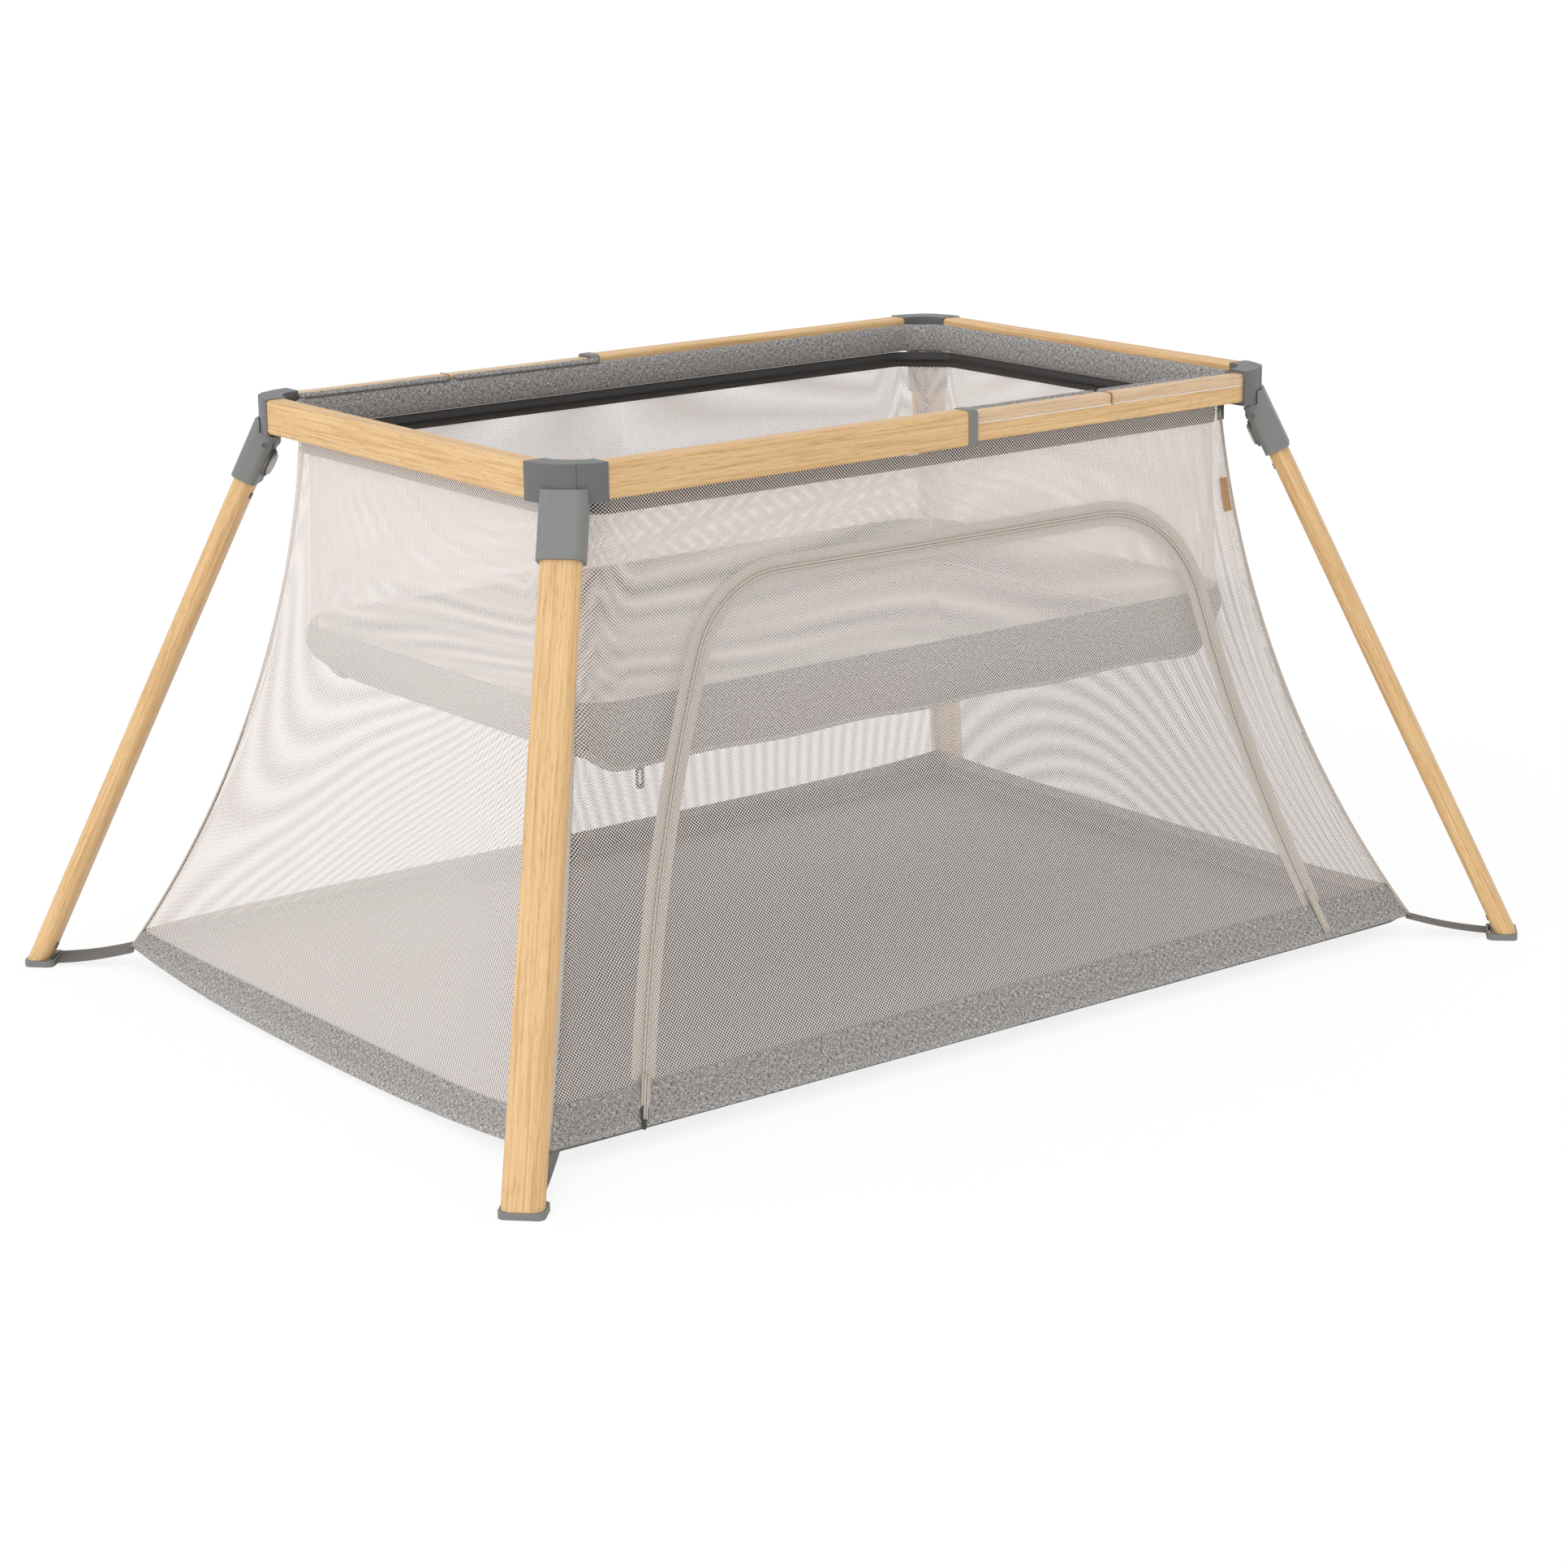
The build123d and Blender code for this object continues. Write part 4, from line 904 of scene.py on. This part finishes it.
def line_aside(line, aside):
    """Front view line moved sideways, to the left of its own direction."""
    way = np.gradient(line, axis=0)
    way /= np.linalg.norm(way, axis=1)[:, None]
    return line + aside * np.stack([-way[:, 1], way[:, 0]], axis=-1)


def on_front(line, lift):
    return on_wall("front", line[:, 0], line[:, 1], lift)


def zip_tape(name, line, inner, outer, lift, body, side):
    """Tape along the zip's line, between two distances to its left."""
    rows = [line_aside(line, aside) for aside in np.linspace(inner, outer, TAPE_ROWS)]
    points = np.stack([on_front(row, lift) for row in rows])
    across = np.linspace(0, abs(outer - inner), TAPE_ROWS)
    piece = grid_cloth(name, points, flat_cut(path_lengths(line), across))
    wall_sheet(piece, TAPE, "front", side, "door_zip", body=body)


def zip_cord(name, line, aside, lift, body, side):
    """One domed row of the coil beside the zip's line."""
    middle = line_aside(line, aside)
    path = on_front(middle, lift)
    edge = on_front(line_aside(line, aside + SIDE_STEP), lift) - path
    edge /= np.linalg.norm(edge, axis=1)[:, None]
    way = np.gradient(path, axis=0)
    out = np.cross(edge, way)
    out /= np.linalg.norm(out, axis=1)[:, None]
    out *= np.where(out[:, 1:2] > 0, -1.0, 1.0)
    piece = swept(name, path, edge, out, half_round(ZIP_CORD, ZIP_CORD * ZIP_CORD_DOME))
    place_piece(piece, ZIP_CORD_CLOTH, body, ["door_zip"])
    fold_with_legs(piece, "front", side)


whole_line = door_line(SKIRT_TOP)
zip_middle = [(0.0, DOOR_HEAD)]
cord_aside = (ZIP_CORD + ZIP_CORD_GAP) / 2
skirt_front = SKIRT_LIFT + SKIRT_PUFF
for half, side in HALVES.items():
    frame_half, door_half = frame_body(side), f"door_{half}"
    line = whole_line[whole_line[:, 0] * side > 0]
    line = np.concatenate([line, zip_middle] if side < 0 else [zip_middle, line])
    for part, way, body in (("outer", 1, frame_half), ("inner", -1, door_half)):
        zip_tape(f"zip_tape_{part}_{half}", line, 0.0, way * ZIP_TAPE, ZIP_TAPE_BEHIND, body, side)
        zip_cord(f"zip_cord_{part}_{half}", line, way * cord_aside, ZIP_CORD_LIFT, body, side)
    foot = door_line(ZIP_FOOT_LOW)
    foot = foot[(foot[:, 0] * side > 0) & (foot[:, 1] < SKIRT_TOP + ZIP_FOOT_OVERLAP)]
    lift = skirt_front + ZIP_FOOT_TAPE_LIFT
    zip_tape(f"zip_foot_{half}", foot, -ZIP_FOOT_TAPE, ZIP_FOOT_TAPE, lift, frame_half, side)
    lift = skirt_front + ZIP_FOOT_CORD_LIFT
    for part, way in (("outer", 1), ("inner", -1)):
        zip_cord(f"zip_foot_{part}_{half}", foot, way * cord_aside, lift, frame_half, side)


# Skirt and floor

SKIRT_SHARES = np.linspace(0.0, 1.0, SKIRT_ROWS)[:, None]


def hem_height(wall, shares):
    """Height of the hem along half a wall; the straps pull its corners up."""
    middle = HEM_LIFT[wall]
    return HEM + middle + (CORNER_LIFT - middle) * shares ** CORNER_LIFT_SHARPNESS[wall]


def skirt_seam(wall, side, shares):
    """Height of the seam between skirt and net along half a wall, out to its corner."""
    drop = SEAM_DROP[wall]
    at_corner = BACK_LEFT_SEAM_DROP if half_of_wall(wall, side)[1] == (-1, 1) else 0.0
    return SKIRT_TOP - drop - (at_corner - drop) * shares**SEAM_CORNER_SHARPNESS


def add_skirt(wall, side):
    """Puffed skirt along half a wall, with a paler hem strip."""
    shares = np.linspace(0.0, 1.0, SKIRT_COLUMNS)[None, :]
    low, high = hem_height(wall, shares), skirt_seam(wall, side, shares)
    lifts = SKIRT_LIFT + SKIRT_PUFF * np.sin(math.pi * SKIRT_SHARES) ** SKIRT_PUFF_FULLNESS
    levels = low + SKIRT_SHARES * (high - low)
    points, flat = wall_grid(wall, side, levels, lifts, SKIRT_COLUMNS)
    piece = grid_cloth(f"skirt_{wall}_{half_name(wall, side)}", points, flat)
    wall_sheet(piece, MELANGE_SKIRT, wall, side, "base_skirt")
    piece.data.materials.append(MELANGE_HEM)
    hem_rows = int(np.sum(SKIRT_SHARES * np.min(high - low) < HEM_STRIP)) - 1
    for number, face in enumerate(piece.data.polygons):
        face.material_index = int(number // (SKIRT_COLUMNS - 1) < hem_rows)


def add_floor_border(wall, side):
    """Floor between its middle and half a wall, turned up to the hem at its rim."""
    shares = np.linspace(0, 1, FLOOR_COLUMNS)[None, :]
    across = np.linspace(0, 1, FLOOR_ROWS)[:, None]
    rim = hem_height(wall, shares) + RIM_ABOVE_HEM
    rim_edge = wall_edge(wall, rim)
    rim_depth = wall_depth(wall, shares * rim_edge, rim)
    near = MAT_CENTRE if is_long(wall) else MAT_CENTRE[::-1]
    along = side * shares * (near[0] + across * (rim_edge - near[0]))
    depth = near[1] + across * (rim_depth - near[1])
    turned_up = np.clip((across - MAT_RIM) / (1 - MAT_RIM), 0, 1)
    way_x, way_y = WALL_WAYS[wall]
    plan = (along, way_y * depth) if is_long(wall) else (way_x * depth, along)
    points = np.stack([*plan, MAT_TOP + turned_up * (rim - MAT_TOP)], axis=-1)
    piece = grid_cloth(f"floor_{wall}_{half_name(wall, side)}", points, points[..., :2])
    wall_sheet(
        piece, MELANGE_MAT, wall, side, "floor_mat"
    )


def add_floor_middle(half, side):
    along = side * np.linspace(0, MAT_CENTRE[0], FLOOR_COLUMNS)
    across = np.linspace(-MAT_CENTRE[1], MAT_CENTRE[1], FLOOR_MIDDLE_ROWS)
    x, y = np.meshgrid(along, across)
    points = np.stack([x, y, np.full_like(x, MAT_TOP)], axis=-1)
    piece = grid_cloth(f"floor_middle_{half}", points, points[..., :2])
    place_piece(piece, MELANGE_MAT, frame_body(side), ["floor_mat"])
    as_sheet(piece)
    hang_fold(piece)


for wall in WALL_WAYS:
    for side in (-1, 1):
        add_skirt(wall, side)
for wall in WALL_WAYS:
    for side in (-1, 1):
        add_floor_border(wall, side)
for half, side in HALVES.items():
    add_floor_middle(half, side)


# Corner bindings, straps and label

CORNER_FOOT = HEM + CORNER_LIFT


def add_binding(wall, half, side, corner_y, diagonal):
    """Tape over the seam between two walls."""
    levels = np.linspace(CORNER_FOOT, TENT_TOP, BINDING_ROWS)
    edge = wall_edge("front", levels)
    path = np.stack([side * edge, corner_y * (edge - CORNER_OFFSET), levels], axis=-1)
    across = np.array([[-diagonal[1], diagonal[0], 0.0]])
    profile = half_round(PIPING_WIDTH, PIPING_HEIGHT)
    piece = swept(f"binding_{wall}_{half}", path, across, diagonal[None], profile)
    wall_sheet(piece, TAPE, wall, side, "corner_piping")


def add_strap(wall, half, side, corner_y, diagonal):
    """Webbing from a corner of the skirt out to the foot of its leg."""
    foot_node = f"foot_cap_{wall}_{half}"
    reach = min(float(diagonal @ vertex.co) for vertex in nodes[foot_node].data.vertices)
    start = float(corner_out(CORNER_FOOT)) - STRAP_TUCK
    shift = np.array([side, -corner_y, 0.0]) * CORNER_OFFSET / 2
    shares = np.linspace(0, 1, STRAP_ROWS)
    outs = start + shares * (reach + STRAP_TUCK - start)
    fall = CORNER_FOOT - STRAP_FOOT_HEIGHT
    heights = CORNER_FOOT - shares * fall - STRAP_SAG * np.sin(math.pi * shares)
    path = shift + np.outer(outs, diagonal) + np.outer(heights, [0, 0, 1])
    tilt = BACK_STRAP_TILT if corner_y > 0 else 0.0
    level = math.cos(tilt)
    across = np.array([-diagonal[1] * level, diagonal[0] * level, math.sin(tilt)])
    spread = np.linspace(-STRAP_WIDTH / 2, STRAP_WIDTH / 2, STRAP_COLUMNS)
    points = path[:, None, :] + spread[None, :, None] * across
    piece = grid_cloth(f"strap_{wall}_{half}", points, flat_cut(spread, path_lengths(path)))
    place_piece(piece, WEBBING, f"leg_{wall}_{half}", ["anchor_straps"])
    as_sheet(piece)
    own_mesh(piece)


for corner_y, wall in ((-1, "front"), (1, "back")):
    for half, side in HALVES.items():
        diagonal = np.array([side, corner_y, 0.0]) / math.sqrt(2)
        add_binding(wall, half, side, corner_y, diagonal)
        add_strap(wall, half, side, corner_y, diagonal)


def restated(node, shift=(0.0, 0.0, 0.0)):
    """Dark metal copy of a small solid, riding on the same body as that solid."""
    mesh = nodes[node].data.copy()
    mesh.transform(Matrix.Translation(shift))
    mesh.materials.clear()
    piece = add_object(node + "_finished", mesh)
    return place_piece(piece, DARK_METAL, nodes[node]["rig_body"], [node])


levels = np.linspace(LABEL_LOW, LABEL_HIGH, LABEL_ROWS)[:, None]
sides = np.linspace(0.0, LABEL_WIDTH, LABEL_COLUMNS)[None, :]
along = wall_edge("front", levels) - LABEL_FROM_EDGE - sides
points = on_wall("front", along, levels, LABEL_LIFT)
flat = np.stack(np.broadcast_arrays(sides, levels), axis=-1)
piece = grid_cloth("label", points, flat)
wall_sheet(piece, TAN, "front", 1, "side_label")

joint_axes = {joint["name"]: Vector(joint["axis"]) for joint in frame["joints"]}
slider_shift = joint_axes["door_zip_run"].normalized() * SLIDER_RISE
fold_with_legs(restated("door_zip_slider", slider_shift), "front", -1)
for small in ("bassinet_zip_bail", "bassinet_zip_pull"):
    hang_fold(restated(small))


# Band, liner zip and bassinet


def half_ring(corners, radius, straights, bends):
    """Plan line round the left half of a ring, from the front's middle to the back's middle."""
    parts = []
    previous = np.array(corners[0], float)
    for before, corner, after in zip(corners, corners[1:], corners[2:]):
        bend = rounded_bend(before, corner, after, radius, bends)
        parts.append(straight(previous, bend[0], straights)[:-1])
        parts.append(bend[:-1])
        previous = bend[-1]
    parts.append(straight(previous, corners[-1], straights))
    return np.concatenate(parts)


def cut_corner_line(length, width, cut):
    """Half ring with its two corners cut off along x + y = cut."""
    corners = [
        (0, -width),
        (-(cut - width), -width),
        (-length, -(cut - length)),
        (-length, cut - length),
        (-(cut - width), width),
        (0, width),
    ]
    return half_ring(corners, RING_BEND, *CUT_RING_STEPS)


def rounded_line(length, width, radius):
    corners = [(0, -width), (-length, -width), (-length, width), (0, width)]
    return half_ring(corners, radius, *ROUND_RING_STEPS)


def mirrored(points, side):
    """Left half's grid of points, or the same turned over for the right half."""
    return points if side < 0 else (points * np.array([-1.0, 1.0, 1.0]))[:, ::-1]


def welded(piece):
    """Join the points that meet in one place."""
    shape = bmesh.new()
    shape.from_mesh(piece.data)
    bmesh.ops.remove_doubles(shape, verts=shape.verts, dist=SAME_PLACE)
    shape.to_mesh(piece.data)
    shape.free()
    return piece


def ring_grid(rows):
    """Grid from plan lines with their heights; a height may vary along its line."""
    levelled = []
    for line, height in rows:
        levelled.append(np.column_stack([line, np.broadcast_to(height, len(line))]))
    return np.stack(levelled)


def ring_cloth(name, grid, side, material, replaced):
    """Hung cloth round half a ring; its cut is as deep as the ring is at mid-length."""
    grid = mirrored(grid, side)
    along = path_lengths(grid[len(grid) // 2])
    up = path_lengths(grid[:, 0])
    piece = grid_cloth(name, grid, flat_cut(along, up))
    place_piece(piece, material, frame_body(side), [replaced])
    as_sheet(piece)
    hang_fold(piece)
    return piece


def band_profile():
    """Cross section of the padded band, as (across, up) points with its inner face crowned."""
    half_height = (BAND_HIGH.z - BAND_LOW.z) / 2
    profile = []
    for angle in np.linspace(0, 2 * math.pi, BAND_STEPS, endpoint=False):
        across, up = math.cos(angle), math.sin(angle)
        across = math.copysign(abs(across) ** BAND_FULLNESS, across)
        up = math.copysign(abs(up) ** BAND_FULLNESS, up)
        crown = BAND_CROWN * math.cos(math.pi / 2 * up) if across < 0 else 0.0
        profile.append((across * BAND_THICKNESS / 2 - crown, up * half_height))
    return np.array(profile)


def add_band():
    """Padded band all round inside the rails."""
    inset = BAND_THICKNESS / 2
    cut = BAND_CUT - BAND_THICKNESS / math.sqrt(2)
    line = cut_corner_line(BAND_HIGH.x - inset, BAND_HIGH.y - inset, cut)
    line = np.concatenate([line, (line * [-1, 1])[::-1][1:-1]])
    way = np.roll(line, -1, axis=0) - np.roll(line, 1, axis=0)
    way /= np.linalg.norm(way, axis=1)[:, None]
    out = np.stack([way[:, 1], -way[:, 0]], axis=-1)
    out *= np.sign(np.sum(out * line, axis=1))[:, None]
    profile = band_profile()
    middle = (BAND_LOW.z + BAND_HIGH.z) / 2
    plan = line[None] + profile[:, None, :1] * out[None]
    levels = np.broadcast_to(middle + profile[:, None, 1:], (*plan.shape[:2], 1))
    points = np.concatenate([plan, levels], axis=-1)
    closed = grid_faces(len(profile) + 1, len(line), wrap=True)
    faces = [[corner % (len(profile) * len(line)) for corner in face] for face in closed]
    flat = flat_cut(path_lengths(line), path_lengths(profile))
    band = cloth_mesh("band", points.reshape(-1, 3), faces, flat.reshape(-1, 2))
    band.data.materials.append(MELANGE)
    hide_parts("top_band")
    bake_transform(band)


def add_band_roll(name, side, way_y, near, far):
    """Roll on the band's upper edge beside a slim rail."""
    x = side * np.linspace(near, far, ROLL_STEPS)
    y = np.full_like(x, way_y * (BAND_HIGH.y - BAND_THICKNESS / 2))
    path = np.stack([x, y, np.full_like(x, BAND_HIGH.z)], axis=-1)
    across, up = np.array([[0.0, 1.0, 0.0]]), np.array([[0.0, 0.0, 1.0]])
    piece = swept(name, path, across, up, half_round(ROLL_WIDTH, ROLL_HEIGHT))
    place_piece(piece, MELANGE, frame_body(side), ["top_band"])


def add_rail_tab():
    """Short cloth tab that hangs under the front rail."""
    drops = np.linspace(0.0, TAB_DROP, TAB_ROWS)
    sides = np.linspace(-TAB_WIDTH / 2, TAB_WIDTH / 2, TAB_COLUMNS)
    flat = flat_cut(sides, drops)
    points = np.array(TAB_PLACE) + flat[..., :1] * [1, 0, 0] - flat[..., 1:] * [0, 0, 1]
    piece = grid_cloth("rail_tab", points, flat)
    place_piece(piece, MELANGE_DARK, "right_frame", ["top_band"])
    as_sheet(piece)


add_band()
for wall, way_y, half in (("back", 1, "left"), ("front", -1, "right")):
    for part, near, far in (("inner", *ROLL_REACH[:2]), ("outer", *ROLL_REACH[2:])):
        add_band_roll(f"band_roll_{wall}_{part}", HALVES[half], way_y, near, far)
add_rail_tab()

BASSINET_DEPTH = NET_HIGH.z - TUB_LOW.z
TUB_DEPTH = NET_LOW.z - TUB_LOW.z


def bassinet_line(rise, drawn=0.0):
    """Half ring of the bassinet above its lower edge; the tub is rounded under and pushed out."""
    share = min(rise / TUB_DEPTH, 1.0)
    under = (1 - share) ** TUB_ROUNDING
    bulge = TUB_BULGE * math.sin(math.pi * share)
    length = NET_HIGH.x - under * TUB_DRAWN_IN[0] + bulge - drawn
    width = NET_HIGH.y - under * TUB_DRAWN_IN[1] + bulge - drawn
    spread = BASSINET_TOP_ROUND - BASSINET_BOTTOM_ROUND
    return rounded_line(length, width, BASSINET_BOTTOM_ROUND + rise / BASSINET_DEPTH * spread)


def tub_height(line, rise):
    """Heights along a ring of the tub, whose lower edge sags a little and rises at both ends."""
    wave = np.sin(TUB_SAG_ALONG * line[:, 0] + TUB_SAG_SHIFT) + np.sin(TUB_SAG_ACROSS * line[:, 1])
    end = np.clip((np.abs(line[:, 0]) - TUB_END_START) / TUB_END_REACH, 0, 1)
    shift = TUB_END_RISE * end**2 * (3 - 2 * end) - TUB_SAG * (0.5 + TUB_SAG_SHARE * wave)
    return TUB_LOW.z + rise + shift * (1 - max(rise, 0.0) / TUB_DEPTH)


def tub_row(rise, drawn):
    """Half ring of the tub with its heights; a row under the lower edge is as wide as the edge."""
    line = bassinet_line(max(rise, 0.0), drawn)
    return line, tub_height(line, rise)


def add_liner_zip(half, side):
    """Zip ring under the band, with its coil as a low ridge."""
    height = LINER_HIGH.z - LINER_LOW.z
    shares = (0.0, LINER_COIL[0], *LINER_COIL_TOP, LINER_COIL[1], 1.0)
    flat_line = cut_corner_line(LINER_HIGH.x, LINER_HIGH.y, LINER_CUT)
    ridge_line = cut_corner_line(
        LINER_HIGH.x - LINER_RIDGE, LINER_HIGH.y - LINER_RIDGE, LINER_CUT - LINER_CORNER_RIDGE
    )
    rows = []
    for share in shares:
        line = ridge_line if share in LINER_COIL_TOP else flat_line
        rows.append((line, LINER_LOW.z + share * height))
    grid = ring_grid(rows)
    name = f"liner_zip_{half}"
    piece = ring_cloth(name, grid, side, CHARCOAL, "liner_zip")
    piece.data.materials.append(CHARCOAL_COIL)
    for face in piece.data.polygons:
        share = (face.center.z - LINER_LOW.z) / height
        face.material_index = int(LINER_COIL[0] < share < LINER_COIL[1])


def add_bassinet_net(half, side):
    levels = np.linspace(NET_LOW.z - BASSINET_NET_TUCK, LINER_LOW.z, BASSINET_NET_ROWS)
    grid = ring_grid([(bassinet_line(level - TUB_LOW.z), level) for level in levels])
    name = f"bassinet_net_{half}"
    ring_cloth(name, grid, side, BASSINET_NET, "bassinet_mesh")


def add_tub(half, side):
    """Cloth wall of the tub, with closer rows where it rounds under."""
    rises = TUB_DEPTH * np.linspace(0.0, 1.0, TUB_ROWS) ** TUB_ROW_SPREAD
    grid = ring_grid([tub_row(rise, -TUB_PROUD) for rise in rises])
    name = f"bassinet_tub_{half}"
    ring_cloth(name, grid, side, MELANGE_TUB, "bassinet_tub")


def add_tub_binding(half, side):
    """Paler binding folded round the tub's lower edge."""
    folded = [(-TUB_BINDING_UNDER, TUB_BINDING), (-TUB_BINDING_UNDER, TUB_BINDING / 2)]
    for rise in np.linspace(0.0, TUB_BINDING, TUB_BINDING_ROWS):
        folded.append((rise, -TUB_BINDING_PROUD))
    grid = ring_grid([tub_row(rise, drawn) for rise, drawn in folded])
    name = f"bassinet_binding_{half}"
    ring_cloth(name, grid, side, MELANGE_BINDING, "bassinet_tub")


def add_tub_floor(half, side):
    """Cloth floor of the tub, turned up to the tub's edge at its rim."""
    rim = bassinet_line(0.0)
    level = TUB_LOW.z - TUB_SAG / 2
    rows = []
    for share in TUB_FLOOR_SHARES:
        turned_up = min(max((share - TUB_FLOOR_RIM) / (1 - TUB_FLOOR_RIM), 0.0), 1.0)
        rows.append((rim * share, level + turned_up * (tub_height(rim, 0.0) - level)))
    grid = mirrored(ring_grid(rows), side)
    piece = welded(grid_cloth(f"bassinet_floor_{half}", grid, grid[..., :2]))
    place_piece(piece, MELANGE_TUB, frame_body(side), ["bassinet_tub"])
    as_sheet(piece)
    hang_fold(piece)


def add_mattress(half, side):
    """Padded mattress with rounded edges; it stops where the tub's ends rise."""
    thickness = MATTRESS_HIGH.z - MATTRESS_LOW.z
    rows = []
    for angle in np.linspace(-math.pi / 2, math.pi / 2, MATTRESS_EDGE_ROWS):
        drawn = MATTRESS_EDGE * (1 - math.cos(angle) ** MATTRESS_EDGE_FULLNESS)
        rim = rounded_line(MATTRESS_END - drawn, MATTRESS_HIGH.y - drawn, MATTRESS_ROUND)
        rows.append((rim, MATTRESS_LOW.z + thickness * (0.5 + 0.5 * math.sin(angle))))
    rows.extend((rim * share, MATTRESS_HIGH.z) for share in MATTRESS_TOP_SHARES)
    grid = mirrored(ring_grid(rows), side)
    piece = welded(grid_cloth(f"mattress_{half}", grid, grid[..., :2] + grid[..., 2:]))
    place_piece(piece, MELANGE_TUB, frame_body(side), ["bassinet_mattress"])
    hang_fold(piece)


for half, side in HALVES.items():
    for add_half in (
        add_liner_zip, add_bassinet_net, add_tub, add_tub_binding, add_tub_floor, add_mattress
    ):
        add_half(half, side)


# Dark rings round the release buttons


def add_button_ring(joint):
    """Ring in the socket round one release button, square to the way that the button is pressed."""
    button = nodes[frame["record"]["behaviour"]["bodies"][joint["child"]][0]]
    press = np.array(joint["axis"])
    press = press / np.linalg.norm(press)
    spots = np.array([vertex.co[:] for vertex in button.data.vertices])
    depth = spots @ press
    middle = spots[depth < depth.min() + BUTTON_FACE].mean(axis=0)
    centre = middle + press * (depth.min() + BUTTON_RING_BEHIND - middle @ press)
    bpy.ops.mesh.primitive_torus_add(
        location=Vector(centre),
        rotation=Vector(press).to_track_quat("Z", "Y").to_euler(),
        major_radius=BUTTON_RING_RADIUS,
        minor_radius=BUTTON_RING_WIRE,
        major_segments=BUTTON_RING_STEPS[0],
        minor_segments=BUTTON_RING_STEPS[1],
    )
    ring = bpy.context.object
    ring.name = "ring_" + joint["child"]
    ring.data.materials.append(DARK_RING)
    ring.data.shade_smooth()
    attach(ring, joint["parent"])


for joint in frame["joints"]:
    if joint["name"].startswith("leg_button"):
        add_button_ring(joint)


# Floor, light and camera

bpy.ops.mesh.primitive_plane_add(size=FLOOR_SIZE)
floor = bpy.context.object
floor.name = "studio_floor"
floor_material = bpy.data.materials.new("studio floor")
floor_material.use_nodes = True
tree = floor_material.node_tree
surface = tree.nodes["Principled BSDF"]
surface.inputs["Base Color"].default_value = FLOOR_COLOR
surface.inputs["Roughness"].default_value = 1.0
surface.inputs["Specular IOR Level"].default_value = 0.0
glow = add_node(tree, "Emission", {"Color": WHITE, "Strength": FLOOR_GLOW}).outputs["Emission"]
seen = add_node(tree, "LightPath").outputs["Is Camera Ray"]
share = math_node(tree, "MULTIPLY", seen, FLOOR_GLOW_SHARE)
mixed = add_node(tree, "MixShader", {0: share, 1: surface.outputs["BSDF"], 2: glow})
tree.links.new(mixed.outputs["Shader"], tree.nodes["Material Output"].inputs["Surface"])
floor.data.materials.append(floor_material)

world = bpy.data.worlds.new("studio")
bpy.context.scene.world = world
world.use_nodes = True
sky = world.node_tree.nodes["Background"]
sky.inputs["Color"].default_value = WHITE
sky.inputs["Strength"].default_value = SKY_STRENGTH

lamp_data = bpy.data.lights.new("key", "SUN")
lamp_data.energy = LAMP_ENERGY
lamp_data.angle = LAMP_ANGLE
lamp = add_object("key", lamp_data)
lamp.rotation_euler = LAMP_PLACE.to_track_quat("Z", "Y").to_euler()

back = Vector((
    math.sin(CAMERA_AZIMUTH) * math.cos(CAMERA_ELEVATION),
    -math.cos(CAMERA_AZIMUTH) * math.cos(CAMERA_ELEVATION),
    math.sin(CAMERA_ELEVATION),
))
level = Vector((math.cos(CAMERA_AZIMUTH), math.sin(CAMERA_AZIMUTH), 0.0))
upright = back.cross(level)
right = level * math.cos(CAMERA_ROLL) + upright * math.sin(CAMERA_ROLL)
up = upright * math.cos(CAMERA_ROLL) - level * math.sin(CAMERA_ROLL)
camera_data = bpy.data.cameras.new("photo view")
camera_data.lens = CAMERA_LENS
camera_data.sensor_width = CAMERA_SENSOR
camera_data.clip_end = CAMERA_CLIP
camera = add_object("photo view", camera_data)
turn = Matrix((right, up, back)).transposed().to_4x4()
camera.matrix_world = Matrix.Translation(CAMERA_TARGET + back * CAMERA_DISTANCE) @ turn
bpy.context.scene.camera = camera
bpy.context.scene.view_settings.view_transform = "Standard"
